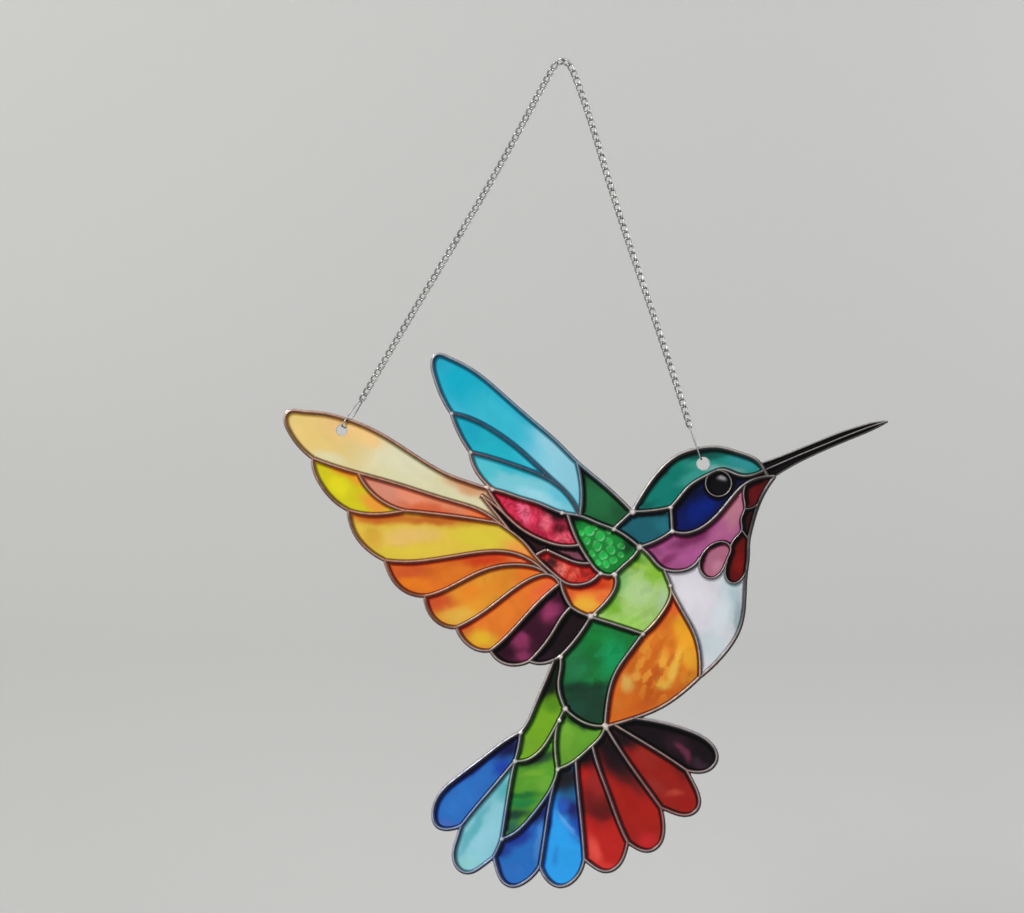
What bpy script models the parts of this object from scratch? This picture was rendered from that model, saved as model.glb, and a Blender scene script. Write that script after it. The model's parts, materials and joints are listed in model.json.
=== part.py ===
"""Acrylic suncatcher: a hummingbird in stained-glass style on a chain.

The bird is one sheet of clear acrylic, cut to the bird's outline, with the dark
lead-look lines standing a little above the coloured panes. A curb chain runs from
a hole in the wing up over the point it hangs from and down to a hole in the head,
and a long wire loop ties each end of the chain to its hole.

Metres, +Z up. The front of the bird faces -Y. The origin is at the top of the
chain, at the point that the whole thing hangs by.
"""
import math

import bmesh
import bpy
import numpy as np
from mathutils import Matrix, Vector
from mathutils.geometry import delaunay_2d_cdt

# Driving sizes, in metres.
SPAN = 0.240              # wing tip to beak tip
SHEET = 0.0030            # thickness of the acrylic at a pane
RELIEF = 0.0005           # how far the lead-look lines stand above the panes
LEAD_WIDTH = 0.0016       # a line between two panes
RIM_WIDTH = 0.0018        # the line that runs round the outline
FINE_WIDTH = 0.0009       # the thin lines of the beak and the gorget
WING_HOLE = 0.0040        # diameter of the hole in the wing
HEAD_HOLE = 0.0048        # diameter of the hole in the head
WIRE = 0.0007             # wire of the chain
END_WIRE = 0.0006         # wire of the two end loops
END_CORNER = 0.0009       # how far from a corner an end loop's wire starts to turn
LINK_WIDTH = 0.0029       # a chain link across its widest
LINK_COUNT = 107          # links between the two end loops
LINK_BITE = 0.00012       # how deep two touching links are fused together
CLEARANCE = 0.0003        # air between one piece and the next
LINK_TURN = math.radians(42)      # how far each end of a link is turned out of the chain's plane
WING_LOOP_TURN = math.radians(20) # how far the end loops are turned away from edge-on
HEAD_LOOP_TURN = math.radians(8)
EYE_SIDES = 20            # sides of the ring round the eye
HOLE_SIDES = 16           # sides of a drilled hole
LOOP_SIDES = 6            # sides of the end loops' wire
LINK_SIDES = 4            # sides of a link's wire

# The drawing is laid out in drawing units (x to the right, y down) and is scaled
# so that the wing tip and the beak tip are SPAN apart.
WING_TIP_X = 284.2
BEAK_TIP_X = 889.2
UNIT = SPAN / (BEAK_TIP_X - WING_TIP_X)
HANG_POINT = (562.8, 60.0)
CHORD_ERROR = 0.18e-3 / UNIT      # how far a straight facet may leave its curve

# Points where lines of the drawing meet.
NOTCH_1 = (312.8, 458.3)          # notches down the wing's feather ends
NOTCH_2 = (348.6, 510.4)
NOTCH_3 = (385.0, 560.4)
NOTCH_4 = (424.9, 596.1)
NOTCH_5 = (456.6, 627.6)
NOTCH_6 = (490.6, 650.6)
NOTCH_7 = (529.6, 661.2)
WING_CORNER = (492.3, 489.3)      # the wing meets the blue wing
BLUE_NOTCH_1 = (451.2, 413.2)
BLUE_NOTCH_2 = (470.3, 452.2)
GOLD_TOP = (499.2, 523.3)
SALMON_TIP = (405.0, 510.8)
FEATHER_ROOT = (547.5, 574.3)
ORANGE_ROOT = (559.4, 584.2)
PURPLE_ROOT = (571.2, 607.2)
BLACK_ROOT = (560.6, 656.4)
BELT = (591.0, 616.6)             # solder spot between the wing and the belly
BLUE_FOOT = (579.9, 516.0)
SHOULDER = (613.8, 529.2)
NAPE = (632.5, 511.8)
THROAT_POINT = (639.5, 547.0)
GREEN_FOOT = (614.6, 574.6)
RED_FOOT = (600.4, 573.2)
RED_SHOULDER = (590.4, 563.4)
MAROON_TIP = (536.4, 555.2)
GREEN_LOW = (643.0, 634.0)
BELLY_TOP = (671.6, 590.8)
BELLY_END = (700.0, 677.2)
TAIL_ROOT = (605.2, 726.0)
TAIL_LEFT = (565.1, 708.6)
NECK_TOP = (670.9, 507.5)
NECK_LOW = (672.3, 531.2)
BEAK_TIP = (888.4, 421.3)
BEAK_ROOT = (764.4, 470.4)
BEAK_CHIN = (775.2, 476.2)
GORGET_TOP = (745.4, 485.6)
GORGET_MID = (744.9, 508.9)
GORGET_LOW = (741.8, 530.0)
GORGET_SIDE = (748.5, 539.3)
OVAL_TOP = (730.6, 547.4)
TAIL_1 = (520.6, 732.4)           # the tail's left side, top to bottom
TAIL_2 = (515.0, 761.2)
TAIL_3 = (557.6, 769.2)
TAIL_4 = (501.6, 839.1)
END_1 = (461.4, 825.8)            # notches between the tail feathers' ends
END_2 = (493.7, 857.2)
END_3 = (540.2, 865.9)
END_4 = (584.4, 859.4)
END_5 = (627.7, 842.2)
END_6 = (660.9, 807.6)
END_7 = (686.8, 770.4)

# Each line is a smooth curve through its points.
RIM_LINES = {
    "long feather": [NOTCH_1, (297.6, 444.2), (287.9, 429.3), (285.4, 417.2), (288.6, 412.2),
                     (300, 411.3), (320, 413.0), (340.6, 417.5), (370, 428.6), (400, 445.9),
                     (430, 465.3), (450, 475.8), (470, 482.9), (483, 487.2), WING_CORNER],
    "yellow feather": [NOTCH_1, (314.0, 470), (320.6, 484.2), (330.9, 497.6), NOTCH_2],
    "gold feather": [NOTCH_2, (349.7, 520), (357.5, 538.2), (366.7, 548.5), NOTCH_3],
    "orange feather 1": [NOTCH_3, (387.2, 567.9), (397.4, 585.2), (414.9, 595.2), NOTCH_4],
    "orange feather 2": [NOTCH_4, (427.2, 607.9), (437.9, 622.3), (447.7, 626.9), NOTCH_5],
    "orange feather 3": [NOTCH_5, (460.2, 635.6), (467.9, 644.4), (480, 650.6), NOTCH_6],
    "purple feather": [NOTCH_6, (500, 661.2), (514.9, 665.1), NOTCH_7],
    "black feather": [NOTCH_7, (541, 663.6), (550, 661.8), BLACK_ROOT],
    "blue wing": [BLUE_NOTCH_1, (440.6, 394.2), (434.1, 375.8), (432.3, 362), (436.4, 355.2),
                  (446.2, 356.5), (470.1, 368.6), (500, 392.2), (530.3, 418.9), (560, 444.9),
                  (575.6, 460.6), (600, 481.2), NAPE],
    "blue wing 2": [BLUE_NOTCH_1, (454.4, 422.9), (461, 437.3), BLUE_NOTCH_2],
    "blue wing 3": [BLUE_NOTCH_2, (472.1, 461.9), (479, 475.3), WING_CORNER],
    "head": [NAPE, (641, 497), (660, 470.6), (680, 454.7), (700, 448.6), (720, 447.7), (740.1, 453.1),
             (759.5, 462.8), BEAK_ROOT, (767.8, 476.4)],
    "breast": [BEAK_CHIN, (767.2, 487.6), (760.6, 500), (756.2, 511.5), (751.2, 529.0), (748.8, 541),
               (748.2, 557.5), (746.4, 572), (745.4, 585), (744.4, 606), (739.5, 629.5), (725.8, 652),
               BELLY_END],
    "belly": [BELLY_END, (684, 691.7), (662.6, 706.6), (637, 717.5), (607.5, 726.3)],
    "tail side": [(554.2, 659.8), (549, 673.2), (541, 691.6), (533.5, 710), (525.8, 725.8), TAIL_1],
    "tail feather 1": [TAIL_1, (505, 741.4), (485, 756.6), (455.1, 779.4), (438, 797), (433.0, 813.5),
                       (437.2, 826.4), (448.6, 829.4), END_1],
    "tail feather 2": [END_1, (457, 839.5), (453.6, 853), (457.2, 867.2), (467, 872.8), (480.4, 867.5),
                       END_2],
    "tail feather 3": [END_2, (496.6, 868), (503.2, 882), (512.5, 886.4), (523.5, 883.2), END_3],
    "tail feather 4": [END_3, (547.2, 879.6), (558.5, 886.4), (571.5, 882.6), (580.7, 871.3), END_4],
    "tail feather 5": [END_4, (593, 866.2), (605.8, 871.6), (618, 866.3), (625, 853.5), END_5],
    "tail feather 6": [END_5, (636, 847.8), (648, 851.2), (658.8, 845.4), (663.8, 826), END_6],
    "tail feather 7": [END_6, (671.2, 811.9), (686.4, 815.3), (697.2, 809.6), (698.8, 796),
                       (693.4, 783), END_7],
    "tail feather 8": [(634, 718.4), (658.1, 722.3), (690.8, 731.8), (709.3, 742.2), (717.0, 757.5),
                       (708.5, 770), (697, 772.2), END_7],
}
LEAD_LINES = {
    "long feather, lower": [NOTCH_1, (330, 464.6), (360, 473.7), (390, 481.9), (420, 491.3),
                            (450, 500.6), (480, 510.4), GOLD_TOP],
    "yellow feather, lower": [NOTCH_2, (360, 513.2), (375, 514.5), (390, 513.4), SALMON_TIP],
    "salmon feather, lower": [SALMON_TIP, (440, 514.4), (470, 518.3), GOLD_TOP],
    "yellow to salmon": [(358.6, 473.4), (366.0, 486.3), (378.4, 498.6), SALMON_TIP],
    "gold feather, lower": [NOTCH_3, (410, 561.8), (440, 558.5), (470, 553.6), (495, 551.2),
                            (515, 553.6), (534.4, 562.6), FEATHER_ROOT],
    "orange 1, lower": [NOTCH_4, (440, 591.8), (460, 582), (480, 572), (500, 566), (520, 564.8),
                        (536.4, 567.7), FEATHER_ROOT],
    "orange 2, lower": [NOTCH_5, (480, 614.8), (500, 600), (520, 585.1), (537.5, 576.2), (547.5, 574.6),
                        (555.5, 578.2), ORANGE_ROOT],
    "orange 3, lower": [NOTCH_6, (500, 643.1), (520, 622.6), (540, 601), ORANGE_ROOT],
    "purple to black": [NOTCH_7, (540, 650.3), (552.8, 632.8), (562.1, 617.4), PURPLE_ROOT],
    "black feather, right": [BLACK_ROOT, (570.5, 646), (583.6, 628.7), BELT],
    "wing root": [GOLD_TOP, (513.5, 533.4), (525.4, 543.7), (536.5, 557.6), (548.1, 569.0),
                  (559.6, 578.9), (567, 583.6), (575, 585.1), (585, 584), (594.1, 579.7), RED_FOOT],
    "wing root, lower": [(560.4, 580.6), (563.8, 593.8), PURPLE_ROOT],
    "orange drop": [PURPLE_ROOT, (579.5, 612.4), BELT],
    "crimson, lower": [(480.8, 495.4), (492.3, 503.2), (505.8, 515.3), (520, 528), (539.7, 539.1),
                       (560.3, 545.6), (579.6, 545.2)],
    "crimson, left": [(487.4, 488.6), (494.0, 499.3), (504.8, 514.4)],
    "wing shadow": [(483.2, 497.6), (491.5, 508), (499.5, 517.8), (509.6, 530.6)],
    "back": [WING_CORNER, (505, 492.6), (520, 497.8), (540, 503.9), (562, 512.8), BLUE_FOOT,
             (600, 524.0), SHOULDER, (627, 537.0), THROAT_POINT],
    "crimson to green": [(567.6, 514.6), (572.2, 528.5), (580, 546.0), (590.2, 562.4), (600, 572.8),
                         (606.8, 575.3), GREEN_FOOT],
    "maroon tip": [MAROON_TIP, (541.5, 552.2), (546.6, 549.8)],
    "maroon, lower": [(546.6, 549.8), (563.3, 557.5), (577, 562.6), RED_SHOULDER],
    "green, right": [THROAT_POINT, (636.6, 553.0), (625.1, 564.6), GREEN_FOOT],
    "leaf, left": [GREEN_FOOT, (616.2, 583), (611.5, 595.3), (602.2, 606.6), BELT],
    "leaf, lower": [(592, 617.6), (611.3, 623.5), GREEN_LOW],
    "throat": [THROAT_POINT, (650.1, 556), (661, 567.6), (675, 571.4), (690, 568.4), (700.4, 558.0)],
    "leaf, right": [(664.4, 570.2), (668.4, 580.4), (671.4, 591.5), (669.6, 600), (660, 616.2),
                    (650.4, 627.6), GREEN_LOW],
    "belly, right": [BELLY_TOP, (682.7, 611.6), (695.3, 636), (699.9, 658), BELLY_END],
    "belly, left": [GREEN_LOW, (630.5, 651), (614.7, 675), (607.6, 701), TAIL_ROOT],
    "rump, left": [BLACK_ROOT, (560.7, 668), (558.6, 683), (561.2, 699), TAIL_LEFT],
    "rump, lower": [TAIL_LEFT, (575.9, 718.0), (589, 724.5), TAIL_ROOT],
    "shoulder": [NAPE, (623, 520.6), SHOULDER],
    "crown, lower": [(763.8, 471.0), (755.4, 474.4), (745, 476.3), (735.4, 474.2), (722, 469.9),
                     (708.7, 474.6), (690.3, 485.6), (677, 500.8), NECK_TOP],
    "neck, top": [NECK_TOP, (652, 510.8), NAPE],
    "neck, right": [NECK_TOP, (671.7, 519), NECK_LOW],
    "neck, lower": [NECK_LOW, (661, 538.6), THROAT_POINT],
    "cheek, lower": [NECK_LOW, (685, 533.3), (700, 528.8), (718, 514.4), (733.3, 496), (747.7, 482.6),
                     (762.3, 477.3), BEAK_CHIN],
    "tail 1 to 2": [TAIL_1, (518.6, 747), TAIL_2],
    "lime slip, lower": [TAIL_2, (528, 759.6), (541.5, 749.6), (552.6, 732.6), (559.6, 719.6),
                         TAIL_LEFT],
    "lime, left": [(558.0, 722.4), (555.3, 741), (555.9, 757), TAIL_3],
    "lime, lower": [TAIL_3, (575, 761), (590, 748), (600.8, 737.0), TAIL_ROOT],
    "tail base, left": [TAIL_2, (511.2, 779), (506.8, 805), TAIL_4],
    "tail base, lower": [TAIL_4, (514, 833.8), (530, 818.4), (546, 797.4), (555.4, 779), TAIL_3],
    "feather 1 to 2": [TAIL_2, (490.6, 790.3), (474.9, 808.7), END_1],
    "feather 2 to 3": [TAIL_4, (499.2, 845.5), END_2],
    "feather 3 to 4": [(553.8, 784.4), (549.1, 806.7), (545.3, 832), END_3],
    "feather 4 to 5": [(575.8, 760.4), (578.7, 795.9), (582.4, 833), END_4],
    "feather 5 to 6": [(592.4, 745.6), (597.2, 763.5), (609, 795.9), (620.3, 826.5), END_5],
    "feather 6 to 7": [TAIL_ROOT, (622.5, 753.8), (641.7, 781.2), END_6],
    "feather 7 to 8": [(613, 724.0), (640, 740.2), (662.4, 754), END_7],
    "blue 1 to 2": [BLUE_NOTCH_1, (470.1, 418.3), (490.3, 428.6), (520, 450.1), (550, 477.8),
                    (568.5, 495.8), BLUE_FOOT],
    "blue 2 to 3": [BLUE_NOTCH_2, (490.3, 457.3), (520, 467.1), (545.6, 477.6), (561.4, 488.2)],
    "blue to green": [(576.4, 461.0), (581.4, 488), BLUE_FOOT],
}
FINE_LINES = {
    "beak, upper": [(760.8, 463.4), (780, 456.7), (800, 448.7), (820, 440.6), (840, 432.7),
                    (860, 426.2), (875, 422.3), BEAK_TIP],
    "beak, lower": [BEAK_CHIN, (789, 467.6), (800, 461.6), (820, 452.1), (840, 443.4), (860, 435.2),
                    (878, 427.2), BEAK_TIP],
    "beak, middle": [(766, 469.6), (780, 463.6), (800, 454.9), (820, 446.7), (840, 438.5), (860, 430.6),
                     (876, 424.9), BEAK_TIP],
    "gorget, left": [GORGET_TOP, (743.7, 496), GORGET_MID, (741.3, 520), GORGET_LOW, (735.6, 538.0),
                     OVAL_TOP],
    "gorget 1, lower": [(760.0, 501.2), (752, 508.1), GORGET_MID],
    "gorget 2, lower": [GORGET_LOW, GORGET_SIDE],
    "drop, lower": [(747.2, 567.5), (741.9, 578.6), (734.5, 583.3), (727.6, 580.2), (725.2, 570.8),
                    (727.4, 561)],
}
EYE_CENTRE = (718.6, 483.6)
EYE_RADIUS = 12.9
OVAL_LOOP = [(730.6, 547.4), (720, 541.8), (706.9, 548.7), (699.6, 562), (702.8, 574.2), (711, 578.2),
             (721.3, 572), (728.2, 557.5)]
WING_EYELET = (341.6, 430.2)
HEAD_EYELET = (703.3, 463.6)
CHAIN_ROUTE = [(361.0, 400.6), (420.3, 300.0), (467.7, 221.0), (508.6, 149.6), (552.4, 68.6),
               HANG_POINT, (572.8, 70.2), (611.5, 189.0), (651.2, 308.0), (690.3, 427.0)]


def steer(points):
    """Directions of the smoothest curve through the points, as complex numbers, open at both ends."""
    z = [complex(*p) for p in points]
    last = len(z) - 1
    chord = [z[k + 1] - z[k] for k in range(last)]
    turn = [0.0] + [np.angle(chord[k] / chord[k - 1]) for k in range(1, last)] + [0.0]
    if last == 1:
        return z, chord, turn, np.zeros(2)
    rows = np.zeros((last + 1, last + 1))
    side = np.zeros(last + 1)
    rows[0, :2] = 1.0
    side[0] = -turn[1]
    for k in range(1, last):
        before = 1.0 / abs(chord[k - 1])
        after = 1.0 / abs(chord[k])
        rows[k, k - 1] = before
        rows[k, k] = 2.0 * (before + after)
        rows[k, k + 1] = after
        side[k] = -2.0 * before * turn[k] - after * turn[k + 1]
    rows[last, last - 1:] = 1.0
    return z, chord, turn, np.linalg.solve(rows, side)


def pull(leave, arrive):
    """Length of a Bezier handle, in chords, for a curve that leaves and arrives at these angles."""
    lean = (math.sin(leave) - math.sin(arrive) / 16) * (math.sin(arrive) - math.sin(leave) / 16)
    top = 2 + math.sqrt(2) * lean * (math.cos(leave) - math.cos(arrive))
    bottom = 3 * (1 + 0.5 * (math.sqrt(5) - 1) * math.cos(leave) + 0.5 * (3 - math.sqrt(5)) * math.cos(arrive))
    return top / bottom


def smooth(points, error=CHORD_ERROR):
    """A smooth curve through the points, as a polyline that stays within the error of it."""
    z, chord, turn, theta = steer(points)
    out = [z[0]]
    for k, step in enumerate(chord):
        leave = theta[k]
        arrive = -turn[k + 1] - theta[k + 1]
        a = z[k]
        b = z[k] + step * np.exp(1j * leave) * pull(leave, arrive)
        c = z[k + 1] - step * np.exp(-1j * arrive) * pull(arrive, leave)
        d = z[k + 1]
        bend = max(abs(a - 2 * b + c), abs(b - 2 * c + d))
        pieces = max(1, math.ceil(math.sqrt(0.75 * bend / error)))
        for i in range(1, pieces + 1):
            t = i / pieces
            out.append(a * (1 - t) ** 3 + 3 * b * t * (1 - t) ** 2 + 3 * c * t * t * (1 - t) + d * t ** 3)
    return np.array([(p.real, p.imag) for p in out])


def smooth_loop(points, error=CHORD_ERROR):
    """The same for a closed curve: the points are run through three times and the middle turn is kept."""
    turns = [list(points)[i % len(points)] for i in range(3 * len(points) + 1)]
    fine = smooth(turns, error)
    first = np.array(points[0])
    hits = [i for i, p in enumerate(fine) if np.hypot(*(p - first)) < 1e-6]
    return fine[hits[1]:hits[2] + 1]


def circle(centre, radius, sides):
    angles = np.linspace(0, 2 * math.pi, sides + 1)
    return np.column_stack([centre[0] + radius * np.cos(angles), centre[1] + radius * np.sin(angles)])


def strokes():
    """Every line of the drawing as (polyline, half its width), in drawing units."""
    groups = ((RIM_LINES, RIM_WIDTH), (LEAD_LINES, LEAD_WIDTH), (FINE_LINES, FINE_WIDTH))
    out = [(smooth(points), width / 2 / UNIT) for lines, width in groups for points in lines.values()]
    out.append((circle(EYE_CENTRE, EYE_RADIUS, EYE_SIDES), FINE_WIDTH / 2 / UNIT))
    out.append((smooth_loop(OVAL_LOOP), FINE_WIDTH / 2 / UNIT))
    return out


def ribbon(path, half):
    """The quads that a line of this half width covers, with mitred corners."""
    step = np.diff(path, axis=0)
    step /= np.hypot(step[:, 0], step[:, 1])[:, None]
    normal = np.column_stack([-step[:, 1], step[:, 0]])
    closed = np.hypot(*(path[0] - path[-1])) < 1e-6
    before = np.vstack([normal[-1:] if closed else normal[:1], normal])
    after = np.vstack([normal, normal[:1] if closed else normal[-1:]])
    mean = before + after
    mean /= np.hypot(mean[:, 0], mean[:, 1])[:, None]
    reach = half / np.maximum(0.55, (mean * after).sum(axis=1))
    left = path + mean * reach[:, None]
    right = path - mean * reach[:, None]
    return [(left[i], right[i], right[i + 1], left[i + 1]) for i in range(len(path) - 1)]


def trace(triangles, inside):
    """Closed loops round the triangles that are marked as inside, as lists of point indices."""
    edges = {}
    for k, tri in enumerate(triangles):
        if inside[k]:
            for a, b in zip(tri, tri[1:] + tri[:1]):
                edges[(a, b)] = k
    follow = {}
    for a, b in edges:
        if (b, a) not in edges:
            follow.setdefault(a, []).append(b)
    loops = []
    while follow:
        start = min(follow)
        loop = [start]
        here = start
        while True:
            ways = follow[here]
            there = ways.pop()
            if not ways:
                del follow[here]
            if there == start:
                break
            loop.append(there)
            here = there
        loops.append(loop)
    return loops


def area(loop):
    x, y = loop[:, 0], loop[:, 1]
    return 0.5 * float(np.sum(x * np.roll(y, -1) - np.roll(x, -1) * y))


def thin(loop, error):
    """Leave out the points of a closed loop that lie within the error of a line between two others."""
    keep = [loop[0]]
    for p in loop[1:]:
        if np.hypot(*(p - keep[-1])) > 2.2 * error:
            keep.append(p)
    if np.hypot(*(keep[0] - keep[-1])) <= 2.2 * error:
        keep.pop()
    changed = True
    while changed and len(keep) > 4:
        changed = False
        i = 0
        while i < len(keep) and len(keep) > 4:
            a, p, b = keep[i - 1], keep[i], keep[(i + 1) % len(keep)]
            line = b - a
            away = abs(line[0] * (p - a)[1] - line[1] * (p - a)[0]) / max(1e-9, np.hypot(*line))
            if away < error:
                keep.pop(i)
                changed = True
            i += 1
    return np.array(keep)


def panes_and_outline():
    """The sheet's outline and the panes inside the lines, as closed loops in drawing units."""
    points, faces = [], []
    for path, half in strokes():
        for quad in ribbon(path, half):
            faces.append(list(range(len(points), len(points) + 4)))
            points.extend(quad)
    frame_at = len(points)
    points.extend([(200.0, 300.0), (1000.0, 300.0), (1000.0, 950.0), (200.0, 950.0)])
    faces.append([frame_at, frame_at + 1, frame_at + 2, frame_at + 3])
    verts, _, tris, _, _, came_from = delaunay_2d_cdt([Vector(p) for p in points], [], faces, 0, 1e-4)
    verts = np.array([tuple(v) for v in verts])
    tris = [list(t) for t in tris]
    frame_id = len(faces) - 1
    covered = [any(f != frame_id for f in ids) for ids in came_from]
    beside = {}
    for k, tri in enumerate(tris):
        for a, b in zip(tri, tri[1:] + tri[:1]):
            beside.setdefault(frozenset((a, b)), []).append(k)
    part_of = [-1] * len(tris)
    parts = []
    for k in range(len(tris)):
        if covered[k] or part_of[k] >= 0:
            continue
        part_of[k] = len(parts)
        stack, members = [k], []
        while stack:
            t = stack.pop()
            members.append(t)
            tri = tris[t]
            for a, b in zip(tri, tri[1:] + tri[:1]):
                for n in beside[frozenset((a, b))]:
                    if not covered[n] and part_of[n] < 0:
                        part_of[n] = part_of[k]
                        stack.append(n)
        parts.append(members)

    def size(members):
        corners = verts[[tris[t] for t in members]]
        u, v = corners[:, 1] - corners[:, 0], corners[:, 2] - corners[:, 0]
        return float(np.abs(u[:, 0] * v[:, 1] - u[:, 1] * v[:, 0]).sum() / 2)

    outside = max(range(len(parts)), key=lambda i: size(parts[i]))
    in_sheet = [part_of[k] != outside for k in range(len(tris))]
    error = CHORD_ERROR * 0.5
    loops = [verts[loop] for loop in trace(tris, in_sheet)]
    outline = thin(max(loops, key=lambda loop: abs(area(loop))), error)
    smallest = 2.0e-6 / UNIT ** 2
    panes = []
    for i, members in enumerate(parts):
        if i == outside or size(members) < smallest:
            continue
        chosen = set(members)
        loops = [verts[loop] for loop in trace(tris, [k in chosen for k in range(len(tris))])]
        for loop in loops:
            loop = thin(loop, error)
            if abs(area(loop)) > smallest:
                panes.append(loop)
    return outline, panes


def within(points, loop):
    """Which of the points lie inside the closed loop."""
    x, y = points[:, 0], points[:, 1]
    inside = np.zeros(len(points), bool)
    for (x1, y1), (x2, y2) in zip(loop, np.roll(loop, -1, axis=0)):
        crosses = (y1 > y) != (y2 > y)
        with np.errstate(divide="ignore", invalid="ignore"):
            inside ^= crosses & (x < (x2 - x1) * (y - y1) / (y2 - y1) + x1)
    return inside


def fill(loops):
    """Triangles over the area of the loops, on the loops' own points, with each triangle's middle."""
    points = [Vector(p) for loop in loops for p in loop]
    edges, start = [], 0
    for loop in loops:
        edges += [(start + i, start + (i + 1) % len(loop)) for i in range(len(loop))]
        start += len(loop)
    verts, _, tris, came_from, _, _ = delaunay_2d_cdt(points, edges, [], 0, 1e-6)
    name = [ids[0] for ids in came_from]
    where = np.array([tuple(v) for v in verts])
    middles = np.array([where[list(tri)].mean(axis=0) for tri in tris])
    return [[name[i] for i in tri] for tri in tris], middles


def place(x, y, depth):
    """A point of the drawing, at this depth behind the sheet's middle plane, in metres."""
    return ((x - HANG_POINT[0]) * UNIT, depth, (HANG_POINT[1] - y) * UNIT)


def panel():
    """The acrylic sheet: raised lines at the front, panes a little lower, two holes right through."""
    outline, panes = panes_and_outline()
    drilled = ((WING_EYELET, WING_HOLE), (HEAD_EYELET, HEAD_HOLE))
    holes = [circle(centre, hole / 2 / UNIT, HOLE_SIDES)[:-1] for centre, hole in drilled]
    front, floor, back = -SHEET / 2 - RELIEF, -SHEET / 2, SHEET / 2
    loops = [outline] + panes + holes
    starts = np.cumsum([0] + [len(loop) for loop in loops])
    flat = np.vstack(loops)
    total = len(flat)
    vertices = [place(x, y, depth) for depth in (front, floor, back) for x, y in flat]
    faces = []
    tris, middles = fill(loops)
    in_outline = within(middles, outline)
    in_hole = np.any([within(middles, hole) for hole in holes], axis=0)
    in_pane = np.any([within(middles, pane) for pane in panes], axis=0)
    for k, tri in enumerate(tris):
        if in_outline[k] and not in_hole[k]:
            faces.append([i + (total if in_pane[k] else 0) for i in tri])
    back_loops = [outline] + holes
    ids = [i for n in [0, len(loops) - 2, len(loops) - 1] for i in range(starts[n], starts[n + 1])]
    tris, middles = fill(back_loops)
    keep = within(middles, outline) & ~np.any([within(middles, hole) for hole in holes], axis=0)
    faces += [[ids[i] + 2 * total for i in tri] for k, tri in enumerate(tris) if keep[k]]

    def wall(n, high, low):
        size = len(loops[n])
        for i in range(size):
            a, b = starts[n] + i, starts[n] + (i + 1) % size
            faces.append([a + high, b + high, b + low])
            faces.append([a + high, b + low, a + low])

    wall(0, 0, 2 * total)
    for n in range(1, 1 + len(panes)):
        wall(n, 0, total)
    for n in (len(loops) - 2, len(loops) - 1):
        wall(n, total, 2 * total)
    mesh = bpy.data.meshes.new("acrylic_panel")
    used = sorted({i for face in faces for i in face})
    renumber = {old: new for new, old in enumerate(used)}
    mesh.from_pydata([vertices[i] for i in used], [], [[renumber[i] for i in face] for face in faces])
    return mesh, len(panes)


def tube(points, across, sides, radius):
    """A closed wire through the points; each point has its own direction across the wire."""
    vertices = []
    count = len(points)
    for i, p in enumerate(points):
        ahead = (points[(i + 1) % count] - p).normalized()
        along = (ahead + (p - points[i - 1]).normalized()).normalized()
        mitre = 1 / max(0.6, along.dot(ahead))
        side = across[i].cross(along).normalized()
        up = along.cross(side)
        angles = [2 * math.pi * (j + 0.5) / sides for j in range(sides)]
        vertices += [p + radius * (math.cos(a) * mitre * side + math.sin(a) * up) for a in angles]
    faces = []
    for i in range(count):
        n = (i + 1) % count
        for j in range(sides):
            m = (j + 1) % sides
            faces.append((i * sides + j, n * sides + j, n * sides + m, i * sides + m))
    return vertices, faces


def joints_of_chain():
    """The points where one link hangs in the next, evenly spaced along the route."""
    route = smooth(CHAIN_ROUTE, CHORD_ERROR / 6)
    path = np.array([place(x, y, 0.0) for x, y in route])
    reach = np.concatenate([[0], np.cumsum(np.linalg.norm(np.diff(path, axis=0), axis=1))])
    steps = np.linspace(0, reach[-1], LINK_COUNT + 1)
    return [Vector([float(np.interp(s, reach, path[:, axis])) for axis in range(3)]) for s in steps]


def link(start, end):
    """One link from joint to joint. Its two ends are turned a quarter turn apart, so it lies flat."""
    along = (end - start).normalized()
    depth = Vector((0, 1, 0))
    broad = depth.cross(along).normalized()
    middle = (start + end) / 2
    radius = WIRE / 2 * 1.2
    flat = radius * math.cos(math.pi / 4)
    reach = (end - start).length / 2 + flat - LINK_BITE / 2
    half = (LINK_WIDTH - WIRE) / 2
    corners = [(1, 0.9), (-1, 0.9), (-1, -0.9), (1, -0.9)]
    points, across = [], []
    for a, b in corners:
        turn = Matrix.Rotation(a * LINK_TURN, 3, along)
        points.append(middle + along * reach * a + turn @ broad * half * b)
        across.append(turn @ depth)
    return tube(points, across, LINK_SIDES, radius)


def mesh_object(name, shapes):
    vertices, faces = [], []
    for some_vertices, some_faces in shapes:
        faces += [[i + len(vertices) for i in face] for face in some_faces]
        vertices += some_vertices
    mesh = bpy.data.meshes.new(name)
    mesh.from_pydata([tuple(v) for v in vertices], [], faces)
    thing = bpy.data.objects.new(name, mesh)
    bpy.context.collection.objects.link(thing)
    return thing


def tidy(mesh, one_body=True):
    """Triangles only, facing out."""
    bm = bmesh.new()
    bm.from_mesh(mesh)
    bmesh.ops.triangulate(bm, faces=bm.faces)
    if one_body:
        bmesh.ops.recalc_face_normals(bm, faces=bm.faces)
    if bm.calc_volume(signed=True) < 0:
        bmesh.ops.reverse_faces(bm, faces=bm.faces)
    bm.to_mesh(mesh)
    bm.free()


def chain():
    """All the links. Every second link is joined to its neighbours by one union."""
    joints = joints_of_chain()
    links = [link(joints[i], joints[i + 1]) for i in range(LINK_COUNT)]
    whole = mesh_object("chain", links[0::2])
    others = mesh_object("chain_cutter", links[1::2])
    tidy(whole.data, one_body=False)
    tidy(others.data, one_body=False)
    others.hide_render = True
    others.display_type = "WIRE"
    union = whole.modifiers.new("fuse", "BOOLEAN")
    union.operation = "UNION"
    union.solver = "EXACT"
    union.object = others
    return whole, joints


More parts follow.
